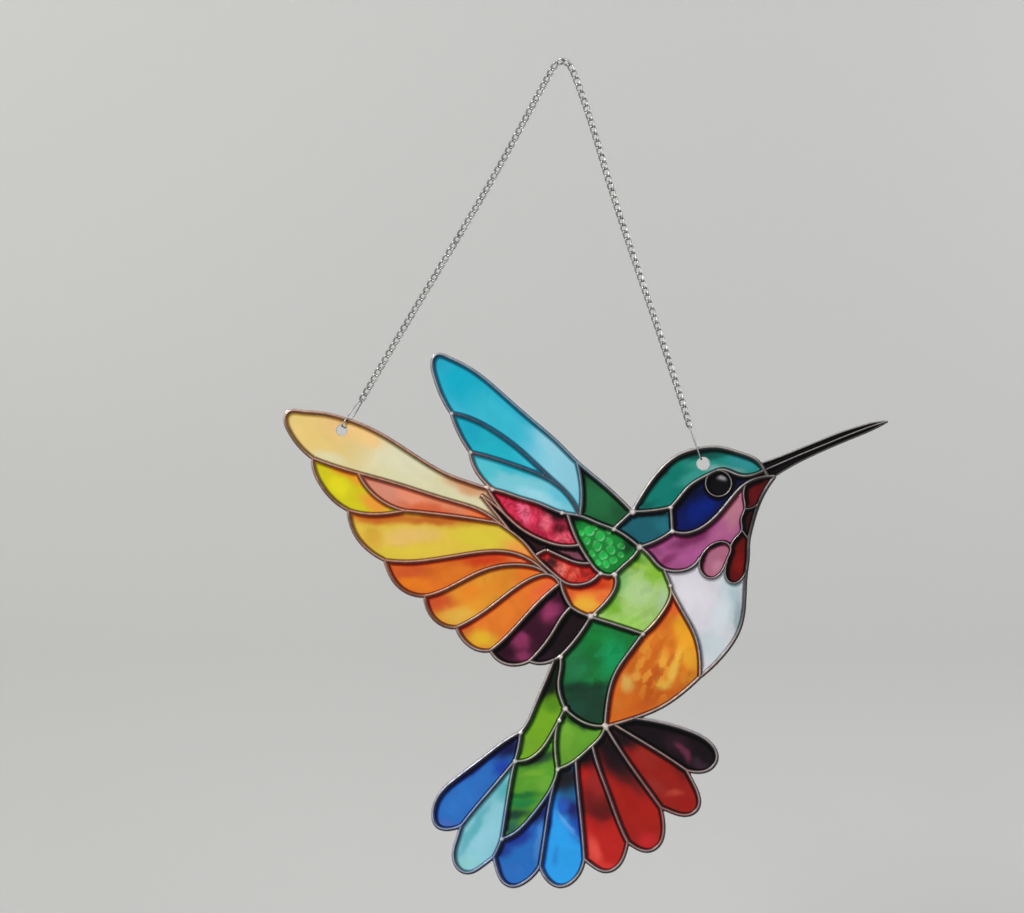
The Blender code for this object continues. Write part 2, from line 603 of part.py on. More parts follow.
def end_loop(name, eyelet, hole, joint, twist):
    """A long wire loop: through the sheet's hole, up both faces of the sheet and through the last link."""
    centre = Vector(place(*eyelet, 0.0))
    up = (joint - centre).normalized()
    depth = Matrix.Rotation(twist, 3, up) @ Vector((0, 1, 0))
    low = centre + up * (hole / 2 - END_WIRE / 2 - CLEARANCE)
    high = joint + up * (END_WIRE / 2 + CLEARANCE)
    length = (high - low).length
    gap = END_WIRE / 2 + CLEARANCE
    front = (SHEET / 2 + RELIEF + gap) / math.cos(twist)
    rear = (SHEET / 2 + gap) / math.cos(twist)
    narrow = LINK_WIDTH * 0.52
    turn = END_CORNER
    shape = [(0, -front + turn), (turn, -front), (length * 0.5, -front), (length - turn, -narrow),
             (length, -narrow + turn), (length, narrow - turn), (length - turn, narrow),
             (length * 0.5, rear), (turn, rear), (0, rear - turn)]
    points = [low + up * a + depth * b for a, b in shape]
    sideways = up.cross(depth).normalized()
    return mesh_object(name, [tube(points, [sideways] * len(points), LOOP_SIDES, END_WIRE / 2)])


def material(name, colour, roughness, metallic, transmission=0.0):
    mat = bpy.data.materials.new(name)
    mat.use_nodes = True
    shader = mat.node_tree.nodes["Principled BSDF"]
    shader.inputs["Base Color"].default_value = (*colour, 1)
    shader.inputs["Roughness"].default_value = roughness
    shader.inputs["Metallic"].default_value = metallic
    shader.inputs["Transmission Weight"].default_value = transmission
    return mat


def build():
    for thing in list(bpy.data.objects):
        bpy.data.objects.remove(thing, do_unlink=True)
    mesh, panes = panel()
    tidy(mesh)
    sheet = bpy.data.objects.new("acrylic_panel", mesh)
    bpy.context.collection.objects.link(sheet)
    sheet.data.materials.append(material("printed acrylic", (0.35, 0.42, 0.36), 0.12, 0.0, 0.5))
    links, joints = chain()
    loops = [end_loop("wing_loop", WING_EYELET, WING_HOLE, joints[0], -WING_LOOP_TURN),
             end_loop("head_loop", HEAD_EYELET, HEAD_HOLE, joints[-1], -HEAD_LOOP_TURN)]
    for loop in loops:
        tidy(loop.data)
    steel = material("chain steel", (0.60, 0.60, 0.60), 0.30, 1.0)
    for thing in [links] + loops:
        thing.data.materials.append(steel)
    print(f"panes {panes}, panel triangles {len(sheet.data.polygons)}")


build()
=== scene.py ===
# %% [markdown]
# # An acrylic suncatcher
# The real thing is one laser-cut sheet of clear acrylic with a see-through print of a hummingbird in
# stained-glass style. Dark lines stand up a little between the coloured panes, like the lead of a real
# window, and a light curb chain carries the sheet by two drilled holes. This lesson draws the lines once,
# in flat drawing units, and lets that one drawing shape every piece: panes, lead lines and the sheet's
# clear edge.

# %% Load the frame
import json
import math

import bmesh
import bpy
import numpy as np
from mathutils import Matrix, Vector, noise
from mathutils.geometry import delaunay_2d_cdt
from mathutils.kdtree import KDTree

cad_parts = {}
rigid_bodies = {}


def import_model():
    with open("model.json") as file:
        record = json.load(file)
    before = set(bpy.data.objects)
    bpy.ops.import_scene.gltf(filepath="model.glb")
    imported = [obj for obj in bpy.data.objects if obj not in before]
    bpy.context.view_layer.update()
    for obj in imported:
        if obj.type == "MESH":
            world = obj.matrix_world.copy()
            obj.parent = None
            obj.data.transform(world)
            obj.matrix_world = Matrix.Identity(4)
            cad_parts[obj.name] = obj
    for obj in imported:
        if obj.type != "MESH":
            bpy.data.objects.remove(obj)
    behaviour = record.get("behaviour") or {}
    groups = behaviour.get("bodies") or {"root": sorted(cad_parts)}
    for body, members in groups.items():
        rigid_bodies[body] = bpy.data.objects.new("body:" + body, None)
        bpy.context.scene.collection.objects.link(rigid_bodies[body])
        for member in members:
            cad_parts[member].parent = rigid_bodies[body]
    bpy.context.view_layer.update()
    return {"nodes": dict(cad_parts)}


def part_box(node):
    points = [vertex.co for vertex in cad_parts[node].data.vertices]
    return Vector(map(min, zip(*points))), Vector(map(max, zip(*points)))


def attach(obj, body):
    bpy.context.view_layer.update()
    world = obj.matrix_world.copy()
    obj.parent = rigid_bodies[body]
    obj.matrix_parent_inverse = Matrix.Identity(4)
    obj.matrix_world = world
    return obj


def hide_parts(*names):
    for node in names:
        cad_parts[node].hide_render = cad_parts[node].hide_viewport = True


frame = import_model()
bpy.context.scene.view_settings.view_transform = "Standard"
print("nodes to dress:", sorted(frame["nodes"]))

# %% [markdown]
# ## The sheet's sizes
# The sheet is 3 mm thick with 0.5 mm of relief in front. The drawing is laid out in its own units, x to
# the right and y down. The frame says how wide the real panel is, so one division gives the size of a
# unit, and every other millimetre below is turned into units with it.

# %% Sizes
MM = 0.001
SHEET_FRONT = -1.5 * MM          # the face of the panes; the front of the bird faces -Y
SHEET_BACK = 1.5 * MM
RELIEF = 0.5 * MM                # how far the lead lines stand out of the panes
HANG_POINT = (562.8, 60.0)       # the top of the chain, which is the frame's origin
DRAWN_WIDTH = 606.33             # wing tip to beak tip over the rims, with a hair to spare
panel_low, panel_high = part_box("acrylic_panel")
UNIT = (panel_high.x - panel_low.x) / DRAWN_WIDTH
LEAD_HALF = 0.8 * MM / UNIT      # half the width of a lead line
RIM_HALF = 0.9 * MM / UNIT       # half the width of the line round the outline
FINE_HALF = 0.45 * MM / UNIT     # half the width of the thin lines
CLEAR_EDGE = 0.24 * MM / UNIT    # clear acrylic left outside the printed rim
HOLE_EDGE = 0.30 * MM / UNIT     # and round the drilled holes
CURVE_ERROR = 0.02 * MM / UNIT


def spot(x, y, depth=0.0):
    """A point of the drawing, at this depth, in metres."""
    return ((x - HANG_POINT[0]) * UNIT, depth, (HANG_POINT[1] - y) * UNIT)


print("one drawing unit is", round(UNIT / MM, 4), "mm")

# %% [markdown]
# ## The drawing
# A glass artist starts from a cartoon, a full-size drawing of the lead lines. Here each line is a short
# list of points that a smooth curve runs through. Points where lines meet have names, because several
# lines share them and they have to meet exactly.

# %% Where lines meet
NOTCH_1 = (312.8, 458.3)          # notches down the wing's feather ends
NOTCH_2 = (348.6, 510.4)
NOTCH_3 = (385.0, 560.4)
NOTCH_4 = (424.9, 596.1)
NOTCH_5 = (456.6, 627.6)
NOTCH_6 = (490.6, 650.6)
NOTCH_7 = (529.6, 661.2)
WING_CORNER = (492.3, 489.3)
BLUE_NOTCH_1 = (451.2, 413.2)
BLUE_NOTCH_2 = (470.3, 452.2)
GOLD_TOP = (499.2, 523.3)
SALMON_TIP = (405.0, 510.8)
FEATHER_ROOT = (547.5, 574.3)
ORANGE_ROOT = (559.4, 584.2)
PURPLE_ROOT = (571.2, 607.2)
BLACK_ROOT = (560.6, 656.4)
BELT = (591.0, 616.6)
BLUE_FOOT = (579.9, 516.0)
SHOULDER = (613.8, 529.2)
NAPE = (632.5, 511.8)
THROAT_POINT = (639.5, 547.0)
GREEN_FOOT = (614.6, 574.6)
RED_FOOT = (600.4, 573.2)
RED_SHOULDER = (590.4, 563.4)
MAROON_TIP = (536.4, 555.2)
GREEN_LOW = (643.0, 634.0)
BELLY_TOP = (671.6, 590.8)
BELLY_END = (700.0, 677.2)
TAIL_ROOT = (605.2, 726.0)
TAIL_LEFT = (565.1, 708.6)
NECK_TOP = (670.9, 507.5)
NECK_LOW = (672.3, 531.2)
BEAK_TIP = (888.4, 421.3)
BEAK_ROOT = (764.4, 470.4)
BEAK_CHIN = (775.2, 476.2)
GORGET_TOP = (745.4, 485.6)
GORGET_MID = (744.9, 508.9)
GORGET_LOW = (741.8, 530.0)
GORGET_SIDE = (748.5, 539.3)
OVAL_TOP = (730.6, 547.4)
TAIL_1 = (520.6, 732.4)           # the tail's left side, top to bottom
TAIL_2 = (515.0, 761.2)
TAIL_3 = (557.6, 769.2)
TAIL_4 = (501.6, 839.1)
END_1 = (461.4, 825.8)            # notches between the tail feathers' ends
END_2 = (493.7, 857.2)
END_3 = (540.2, 865.9)
END_4 = (584.4, 859.4)
END_5 = (627.7, 842.2)
END_6 = (660.9, 807.6)
END_7 = (686.8, 770.4)

# %% Lines round the outline
RIM_LINES = {
    "long feather": [NOTCH_1, (297.6, 444.2), (287.9, 429.3), (285.4, 417.2), (288.6, 412.2),
                     (300, 411.3), (320, 413.0), (340.6, 417.5), (370, 428.6), (400, 445.9),
                     (430, 465.3), (450, 475.8), (470, 482.9), (483, 487.2), WING_CORNER],
    "yellow feather": [NOTCH_1, (314.0, 470), (320.6, 484.2), (330.9, 497.6), NOTCH_2],
    "gold feather": [NOTCH_2, (349.7, 520), (357.5, 538.2), (366.7, 548.5), NOTCH_3],
    "orange feather 1": [NOTCH_3, (387.2, 567.9), (397.4, 585.2), (414.9, 595.2), NOTCH_4],
    "orange feather 2": [NOTCH_4, (427.2, 607.9), (437.9, 622.3), (447.7, 626.9), NOTCH_5],
    "orange feather 3": [NOTCH_5, (460.2, 635.6), (467.9, 644.4), (480, 650.6), NOTCH_6],
    "purple feather": [NOTCH_6, (500, 661.2), (514.9, 665.1), NOTCH_7],
    "black feather": [NOTCH_7, (541, 663.6), (550, 661.8), BLACK_ROOT],
    "blue wing": [BLUE_NOTCH_1, (440.6, 394.2), (434.1, 375.8), (432.3, 362), (436.4, 355.2),
                  (446.2, 356.5), (470.1, 368.6), (500, 392.2), (530.3, 418.9), (560, 444.9),
                  (575.6, 460.6), (600, 481.2), NAPE],
    "blue wing 2": [BLUE_NOTCH_1, (454.4, 422.9), (461, 437.3), BLUE_NOTCH_2],
    "blue wing 3": [BLUE_NOTCH_2, (472.1, 461.9), (479, 475.3), WING_CORNER],
    "head": [NAPE, (641, 497), (660, 470.6), (680, 454.7), (700, 448.6), (720, 447.7), (740.1, 453.1),
             (759.5, 462.8), BEAK_ROOT, (767.8, 476.4)],
    "breast": [BEAK_CHIN, (767.2, 487.6), (760.6, 500), (756.2, 511.5), (751.2, 529.0), (748.8, 541),
               (748.2, 557.5), (746.4, 572), (745.4, 585), (744.4, 606), (739.5, 629.5), (725.8, 652),
               BELLY_END],
    "belly": [BELLY_END, (684, 691.7), (662.6, 706.6), (637, 717.5), (607.5, 726.3)],
    "tail side": [(554.2, 659.8), (549, 673.2), (541, 691.6), (533.5, 710), (525.8, 725.8), TAIL_1],
    "tail feather 1": [TAIL_1, (505, 741.4), (485, 756.6), (455.1, 779.4), (438, 797), (433.0, 813.5),
                       (437.2, 826.4), (448.6, 829.4), END_1],
    "tail feather 2": [END_1, (457, 839.5), (453.6, 853), (457.2, 867.2), (467, 872.8), (480.4, 867.5),
                       END_2],
    "tail feather 3": [END_2, (496.6, 868), (503.2, 882), (512.5, 886.4), (523.5, 883.2), END_3],
    "tail feather 4": [END_3, (547.2, 879.6), (558.5, 886.4), (571.5, 882.6), (580.7, 871.3), END_4],
    "tail feather 5": [END_4, (593, 866.2), (605.8, 871.6), (618, 866.3), (625, 853.5), END_5],
    "tail feather 6": [END_5, (636, 847.8), (648, 851.2), (658.8, 845.4), (663.8, 826), END_6],
    "tail feather 7": [END_6, (671.2, 811.9), (686.4, 815.3), (697.2, 809.6), (698.8, 796),
                       (693.4, 783), END_7],
    "tail feather 8": [(634, 718.4), (658.1, 722.3), (690.8, 731.8), (709.3, 742.2), (717.0, 757.5),
                       (708.5, 770), (697, 772.2), END_7],
}
print("rim lines:", len(RIM_LINES))

# %% Lead lines between the panes
LEAD_LINES = {
    "long feather, lower": [NOTCH_1, (330, 464.6), (360, 473.7), (390, 481.9), (420, 491.3),
                            (450, 500.6), (480, 510.4), GOLD_TOP],
    "yellow feather, lower": [NOTCH_2, (360, 513.2), (375, 514.5), (390, 513.4), SALMON_TIP],
    "salmon feather, lower": [SALMON_TIP, (440, 514.4), (470, 518.3), GOLD_TOP],
    "yellow to salmon": [(358.6, 473.4), (366.0, 486.3), (378.4, 498.6), SALMON_TIP],
    "gold feather, lower": [NOTCH_3, (410, 561.8), (440, 558.5), (470, 553.6), (495, 551.2),
                            (515, 553.6), (534.4, 562.6), FEATHER_ROOT],
    "orange 1, lower": [NOTCH_4, (440, 591.8), (460, 582), (480, 572), (500, 566), (520, 564.8),
                        (536.4, 567.7), FEATHER_ROOT],
    "orange 2, lower": [NOTCH_5, (480, 614.8), (500, 600), (520, 585.1), (537.5, 576.2), (547.5, 574.6),
                        (555.5, 578.2), ORANGE_ROOT],
    "orange 3, lower": [NOTCH_6, (500, 643.1), (520, 622.6), (540, 601), ORANGE_ROOT],
    "purple to black": [NOTCH_7, (540, 650.3), (552.8, 632.8), (562.1, 617.4), PURPLE_ROOT],
    "black feather, right": [BLACK_ROOT, (570.5, 646), (583.6, 628.7), BELT],
    "wing root": [GOLD_TOP, (513.5, 533.4), (525.4, 543.7), (536.5, 557.6), (548.1, 569.0),
                  (559.6, 578.9), (567, 583.6), (575, 585.1), (585, 584), (594.1, 579.7), RED_FOOT],
    "wing root, lower": [(560.4, 580.6), (563.8, 593.8), PURPLE_ROOT],
    "orange drop": [PURPLE_ROOT, (579.5, 612.4), BELT],
    "crimson, lower": [(480.8, 495.4), (492.3, 503.2), (505.8, 515.3), (520, 528), (539.7, 539.1),
                       (560.3, 545.6), (579.6, 545.2)],
    "crimson, left": [(487.4, 488.6), (494.0, 499.3), (504.8, 514.4)],
    "wing shadow": [(483.2, 497.6), (491.5, 508), (499.5, 517.8), (509.6, 530.6)],
    "back": [WING_CORNER, (505, 492.6), (520, 497.8), (540, 503.9), (562, 512.8), BLUE_FOOT,
             (600, 524.0), SHOULDER, (627, 537.0), THROAT_POINT],
    "crimson to green": [(567.6, 514.6), (572.2, 528.5), (580, 546.0), (590.2, 562.4), (600, 572.8),
                         (606.8, 575.3), GREEN_FOOT],
    "maroon tip": [MAROON_TIP, (541.5, 552.2), (546.6, 549.8)],
    "maroon, lower": [(546.6, 549.8), (563.3, 557.5), (577, 562.6), RED_SHOULDER],
    "green, right": [THROAT_POINT, (636.6, 553.0), (625.1, 564.6), GREEN_FOOT],
    "leaf, left": [GREEN_FOOT, (616.2, 583), (611.5, 595.3), (602.2, 606.6), BELT],
    "leaf, lower": [(592, 617.6), (611.3, 623.5), GREEN_LOW],
    "throat": [THROAT_POINT, (650.1, 556), (661, 567.6), (675, 571.4), (690, 568.4), (700.4, 558.0)],
    "leaf, right": [(664.4, 570.2), (668.4, 580.4), (671.4, 591.5), (669.6, 600), (660, 616.2),
                    (650.4, 627.6), GREEN_LOW],
    "belly, right": [BELLY_TOP, (682.7, 611.6), (695.3, 636), (699.9, 658), BELLY_END],
    "belly, left": [GREEN_LOW, (630.5, 651), (614.7, 675), (607.6, 701), TAIL_ROOT],
    "rump, left": [BLACK_ROOT, (560.7, 668), (558.6, 683), (561.2, 699), TAIL_LEFT],
    "rump, lower": [TAIL_LEFT, (575.9, 718.0), (589, 724.5), TAIL_ROOT],
    "shoulder": [NAPE, (623, 520.6), SHOULDER],
    "crown, lower": [(763.8, 471.0), (755.4, 474.4), (745, 476.3), (735.4, 474.2), (722, 469.9),
                     (708.7, 474.6), (690.3, 485.6), (677, 500.8), NECK_TOP],
    "neck, top": [NECK_TOP, (652, 510.8), NAPE],
    "neck, right": [NECK_TOP, (671.7, 519), NECK_LOW],
    "neck, lower": [NECK_LOW, (661, 538.6), THROAT_POINT],
    "cheek, lower": [NECK_LOW, (685, 533.3), (700, 528.8), (718, 514.4), (733.3, 496), (747.7, 482.6),
                     (762.3, 477.3), BEAK_CHIN],
    "tail 1 to 2": [TAIL_1, (518.6, 747), TAIL_2],
    "lime slip, lower": [TAIL_2, (528, 759.6), (541.5, 749.6), (552.6, 732.6), (559.6, 719.6),
                         TAIL_LEFT],
    "lime, left": [(558.0, 722.4), (555.3, 741), (555.9, 757), TAIL_3],
    "lime, lower": [TAIL_3, (575, 761), (590, 748), (600.8, 737.0), TAIL_ROOT],
    "tail base, left": [TAIL_2, (511.2, 779), (506.8, 805), TAIL_4],
    "tail base, lower": [TAIL_4, (514, 833.8), (530, 818.4), (546, 797.4), (555.4, 779), TAIL_3],
    "feather 1 to 2": [TAIL_2, (490.6, 790.3), (474.9, 808.7), END_1],
    "feather 2 to 3": [TAIL_4, (499.2, 845.5), END_2],
    "feather 3 to 4": [(553.8, 784.4), (549.1, 806.7), (545.3, 832), END_3],
    "feather 4 to 5": [(575.8, 760.4), (578.7, 795.9), (582.4, 833), END_4],
    "feather 5 to 6": [(592.4, 745.6), (597.2, 763.5), (609, 795.9), (620.3, 826.5), END_5],
    "feather 6 to 7": [TAIL_ROOT, (622.5, 753.8), (641.7, 781.2), END_6],
    "feather 7 to 8": [(613, 724.0), (640, 740.2), (662.4, 754), END_7],
    "blue 1 to 2": [BLUE_NOTCH_1, (470.1, 418.3), (490.3, 428.6), (520, 450.1), (550, 477.8),
                    (568.5, 495.8), BLUE_FOOT],
    "blue 2 to 3": [BLUE_NOTCH_2, (490.3, 457.3), (520, 467.1), (545.6, 477.6), (561.4, 488.2)],
    "blue to green": [(576.4, 461.0), (581.4, 488), BLUE_FOOT],
}
print("lead lines:", len(LEAD_LINES))

# %% Thin lines of the beak, the eye and the gorget
FINE_LINES = {
    "beak, upper": [(760.8, 463.4), (780, 456.7), (800, 448.7), (820, 440.6), (840, 432.7),
                    (860, 426.2), (875, 422.3), BEAK_TIP],
    "beak, lower": [BEAK_CHIN, (789, 467.6), (800, 461.6), (820, 452.1), (840, 443.4), (860, 435.2),
                    (878, 427.2), BEAK_TIP],
    "beak, middle": [(766, 469.6), (780, 463.6), (800, 454.9), (820, 446.7), (840, 438.5), (860, 430.6),
                     (876, 424.9), BEAK_TIP],
    "gorget, left": [GORGET_TOP, (743.7, 496), GORGET_MID, (741.3, 520), GORGET_LOW, (735.6, 538.0),
                     OVAL_TOP],
    "gorget 1, lower": [(760.0, 501.2), (752, 508.1), GORGET_MID],
    "gorget 2, lower": [GORGET_LOW, GORGET_SIDE],
    "drop, lower": [(747.2, 567.5), (741.9, 578.6), (734.5, 583.3), (727.6, 580.2), (725.2, 570.8),
                    (727.4, 561)],
}
EYE = ((718.6, 483.6), 12.9)
OVAL_LOOP = [(730.6, 547.4), (720, 541.8), (706.9, 548.7), (699.6, 562), (702.8, 574.2), (711, 578.2),
             (721.3, 572), (728.2, 557.5)]
print("thin lines:", len(FINE_LINES) + 2)

# %% [markdown]
# ## Smooth curves from few points
# Blender's own curves need handles on every point. A method known from the design of letters finds them:
# it picks the direction at each point that keeps the bend as even as it can be, so a feather needs only
# as many points as a person would mark with a pencil.

# %% Smooth curves
SAME = 1e-6                      # points nearer to each other than this are one point


def steer(points):
    """Directions of the smoothest curve through the points, as complex numbers, open at both ends."""
    z = [complex(*p) for p in points]
    last = len(z) - 1
    chord = [z[k + 1] - z[k] for k in range(last)]
    turn = [0.0] + [np.angle(chord[k] / chord[k - 1]) for k in range(1, last)] + [0.0]
    if last == 1:
        return z, chord, turn, np.zeros(2)
    rows = np.zeros((last + 1, last + 1))
    side = np.zeros(last + 1)
    rows[0, :2] = 1.0
    side[0] = -turn[1]
    for k in range(1, last):
        before = 1.0 / abs(chord[k - 1])
        after = 1.0 / abs(chord[k])
        rows[k, k - 1:k + 2] = (before, 2.0 * (before + after), after)
        side[k] = -2.0 * before * turn[k] - after * turn[k + 1]
    rows[last, last - 1:] = 1.0
    return z, chord, turn, np.linalg.solve(rows, side)


def pull(leave, arrive):
    """Length of a curve's handle, in chords, for a curve that leaves and arrives at these angles."""
    lean = (math.sin(leave) - math.sin(arrive) / 16) * (math.sin(arrive) - math.sin(leave) / 16)
    top = 2 + math.sqrt(2) * lean * (math.cos(leave) - math.cos(arrive))
    leaving = 0.5 * (math.sqrt(5) - 1) * math.cos(leave)
    arriving = 0.5 * (3 - math.sqrt(5)) * math.cos(arrive)
    return top / (3 * (1 + leaving + arriving))


def smooth(points, error=CURVE_ERROR):
    """A smooth curve through the points, as a polyline that stays within the error of it."""
    z, chord, turn, theta = steer(points)
    out = [z[0]]
    for k, step in enumerate(chord):
        leave = theta[k]
        arrive = -turn[k + 1] - theta[k + 1]
        a = z[k]
        b = z[k] + step * np.exp(1j * leave) * pull(leave, arrive)
        c = z[k + 1] - step * np.exp(-1j * arrive) * pull(arrive, leave)
        d = z[k + 1]
        bend = max(abs(a - 2 * b + c), abs(b - 2 * c + d))
        pieces = max(1, math.ceil(math.sqrt(0.75 * bend / error)))
        for i in range(1, pieces + 1):
            t = i / pieces
            out.append(a * (1 - t) ** 3 + 3 * b * t * (1 - t) ** 2 + 3 * c * t * t * (1 - t) + d * t ** 3)
    return np.array([(p.real, p.imag) for p in out])


def smooth_loop(points):
    """The same for a closed curve: run through three times, and only the middle turn is kept."""
    turns = [points[i % len(points)] for i in range(3 * len(points) + 1)]
    fine = smooth(turns)
    hits = [i for i, p in enumerate(fine) if np.hypot(*(p - np.array(points[0]))) < SAME]
    return fine[hits[1]:hits[2] + 1]


print("points on one rim line:", len(smooth(RIM_LINES["long feather"])))

# %% Every line with its width


def circle(centre, radius, sides=40):
    """A closed circle, with its first point repeated at the end."""
    angles = np.linspace(0, 2 * math.pi, sides + 1)
    return np.column_stack([centre[0] + radius * np.cos(angles), centre[1] + radius * np.sin(angles)])


def strokes():
    """Every line of the drawing as (polyline, half its width)."""
    out = [(smooth(points), RIM_HALF) for points in RIM_LINES.values()]
    out += [(smooth(points), LEAD_HALF) for points in LEAD_LINES.values()]
    out += [(smooth(points), FINE_HALF) for points in FINE_LINES.values()]
    out.append((circle(*EYE), FINE_HALF))
    out.append((smooth_loop(OVAL_LOOP), FINE_HALF))
    return out


print("points on all the curves:", sum(len(path) for path, half in strokes()))

# %% [markdown]
# ## From lines to panes
# A pane is whatever the lines leave open, so it isn't drawn a second time. Each line is laid down as a
# flat ribbon, and one triangulation of all the ribbons cuts the sheet into triangles that are either
# under a ribbon or free. Free triangles that touch each other make up one pane, and those outside make
# the outline.

# %% Holes and solder
WING_HOLE = ((341.6, 430.2), 2.0 * MM / UNIT)
HEAD_HOLE = ((703.3, 463.6), 2.4 * MM / UNIT)
SMALLEST_PANE = 2.0 * (MM / UNIT) ** 2   # two square millimetres; smaller gaps are filled with lead
SOLDER = [(632.5, 511.8, 4.0), (639.5, 547.0, 3.8), (614.6, 574.6, 3.4), (590.6, 616.2, 3.8),
          (595.0, 614.6, 2.4), (565.1, 708.6, 3.4), (559.4, 720.4, 2.6), (605.2, 725.6, 3.6),
          (606.4, 728.2, 2.8), (562.0, 512.8, 2.7), (560.6, 656.6, 3.0), (672.3, 531.2, 2.8),
          (670.9, 507.5, 2.7), (670.2, 585.4, 2.3), (451.4, 413.4, 2.6), (470.4, 452.2, 2.6),
          (487.2, 487.2, 2.6), (492.3, 489.3, 2.8), (520.6, 732.4, 2.8), (515.0, 761.2, 2.8),
          (613.8, 529.2, 2.8), (557.6, 769.2, 2.6), (600.4, 573.2, 2.6), (643.0, 634.0, 2.6),
          (501.6, 839.1, 2.6)]
print("solder spots:", len(SOLDER))

# %% Ribbons
SHARPEST_MITRE = 0.55            # a corner reaches no farther out than the half width over this


def ribbon(path, half):
    """The quads that a line of this half width covers, with mitred corners."""
    step = np.diff(path, axis=0)
    step /= np.hypot(step[:, 0], step[:, 1])[:, None]
    normal = np.column_stack([-step[:, 1], step[:, 0]])
    closed = np.hypot(*(path[0] - path[-1])) < SAME
    before = np.vstack([normal[-1:] if closed else normal[:1], normal])
    after = np.vstack([normal, normal[:1] if closed else normal[-1:]])
    mean = before + after
    mean /= np.hypot(mean[:, 0], mean[:, 1])[:, None]
    reach = half / np.maximum(SHARPEST_MITRE, (mean * after).sum(axis=1))
    left = path + mean * reach[:, None]
    right = path - mean * reach[:, None]
    return [(left[i], right[i], right[i + 1], left[i + 1]) for i in range(len(path) - 1)]


print("ribbon quads:", sum(len(ribbon(path, half)) for path, half in strokes()))

# %% Loops round triangles


def trace(triangles, chosen):
    """Closed loops round the chosen triangles, as lists of point indices."""
    edges = {(a, b) for k in chosen for a, b in zip(triangles[k], triangles[k][1:] + triangles[k][:1])}
    follow = {}
    for a, b in sorted(edges):
        if (b, a) not in edges:
            follow.setdefault(a, []).append(b)
    loops = []
    while follow:
        start = here = min(follow)
        loop = []
        while True:
            loop.append(here)
            there = follow[here].pop()
            if not follow[here]:
                del follow[here]
            if there == start:
                break
            here = there
        loops.append(loop)
    return loops


def area(loop):
    """The area inside a closed loop, with a sign for the way round."""
    x, y = loop[:, 0], loop[:, 1]
    return 0.5 * float(np.sum(x * np.roll(y, -1) - np.roll(x, -1) * y))


def even(loop, longest, shortest):
    """The closed loop with long sides divided and points that crowd each other left out."""
    keep = [loop[0]]
    for p in loop[1:]:
        if np.hypot(*(p - keep[-1])) > shortest:
            keep.append(p)
    if np.hypot(*(keep[0] - keep[-1])) <= shortest:
        keep.pop()
    out = []
    for a, b in zip(keep, keep[1:] + keep[:1]):
        parts = max(1, math.ceil(np.hypot(*(b - a)) / longest))
        out += [a + (b - a) * i / parts for i in range(parts)]
    return np.array(out)


print("area of the eye:", round(abs(area(circle(*EYE))) * (UNIT / MM) ** 2), "square mm")

# %% Panes and outline
ROOM = [(200.0, 300.0), (1000.0, 300.0), (1000.0, 950.0), (200.0, 950.0)]   # holds the whole sheet
SNAP = 1e-4                      # the triangulation joins points nearer than this
FINE_STEP = 0.35 * MM / UNIT     # the longest side of a pane's outline
SHORTEST_STEP = 0.07 * MM / UNIT


def joined(tris, free):
    """The free triangles in groups that touch, each a list of triangle numbers."""
    beside = {}
    for k, tri in enumerate(tris):
        for a, b in zip(tri, tri[1:] + tri[:1]):
            beside.setdefault((min(a, b), max(a, b)), []).append(k)
    seen = set()
    groups = []
    for first in range(len(tris)):
        if not free[first] or first in seen:
            continue
        seen.add(first)
        stack, members = [first], []
        while stack:
            k = stack.pop()
            members.append(k)
            for a, b in zip(tris[k], tris[k][1:] + tris[k][:1]):
                for n in beside[(min(a, b), max(a, b))]:
                    if free[n] and n not in seen:
                        seen.add(n)
                        stack.append(n)
        groups.append(members)
    return groups


def panes_and_outline():
    """The panes that the lines leave open and the outline round them all, as closed loops."""
    shapes = [quad for path, half in strokes() for quad in ribbon(path, half)]
    shapes += [circle((x, y), r, 16)[:-1] for x, y, r in SOLDER]
    shapes.append(ROOM)
    points, faces = [], []
    for shape in shapes:
        faces.append(list(range(len(points), len(points) + len(shape))))
        points.extend(shape)
    verts, _, tris, _, _, came_from = delaunay_2d_cdt([Vector(p) for p in points], [], faces, 0, SNAP)
    verts = np.array([tuple(v) for v in verts])
    tris = [list(t) for t in tris]
    room = len(faces) - 1
    groups = joined(tris, [all(f == room for f in ids) for ids in came_from])
    loops = [[verts[loop] for loop in trace(tris, members)] for members in groups]
    outside = max(range(len(groups)), key=lambda i: max(abs(area(loop)) for loop in loops[i]))
    beyond = set(groups[outside])
    sheet = trace(tris, [k for k in range(len(tris)) if k not in beyond])
    outline = max((verts[loop] for loop in sheet), key=lambda loop: abs(area(loop)))
    inner = [loop for i, some in enumerate(loops) if i != outside for loop in some]
    return outline, [loop for loop in inner if abs(area(loop)) > SMALLEST_PANE]


outline, panes = panes_and_outline()
outline = even(outline, FINE_STEP, SHORTEST_STEP)
panes = [even(pane, FINE_STEP, SHORTEST_STEP) for pane in panes]
print("panes:", len(panes), " points on the outline:", len(outline))

# %% [markdown]
# ## Colours for the panes
# The print gives every pane its own blend, like art glass with streaks of a second and third colour in
# it. A pane is written as a base colour and a few soft daubs laid over it in turn, each an oval with a
# tilt. The daubs are mixed at the mesh's points, so the blend belongs to the piece and looks the same
# from any side.

# %% Daubs of colour
DRIFTS = ((3.0, 17.0), (1.4, 6.0))   # how far the edges of daubs drift, and over what length
DRIFT_SEED = 3                       # without it the drift would differ from run to run

noise.seed_set(DRIFT_SEED)


def daub(x, y, wide, high, tilt, colour, strength=1.0):
    """An oval touch of colour, with soft edges. The tilt is in degrees, clockwise as drawn."""
    return x, y, wide, high, math.radians(tilt), colour, strength


def linear(colour):
    """Red, green and blue as a screen shows them, 0 to 255, to the linear values that light adds up in."""
    share = np.asarray(colour, float) / 255
    return np.where(share <= 0.04045, share / 12.92, ((share + 0.055) / 1.055) ** 2.4)


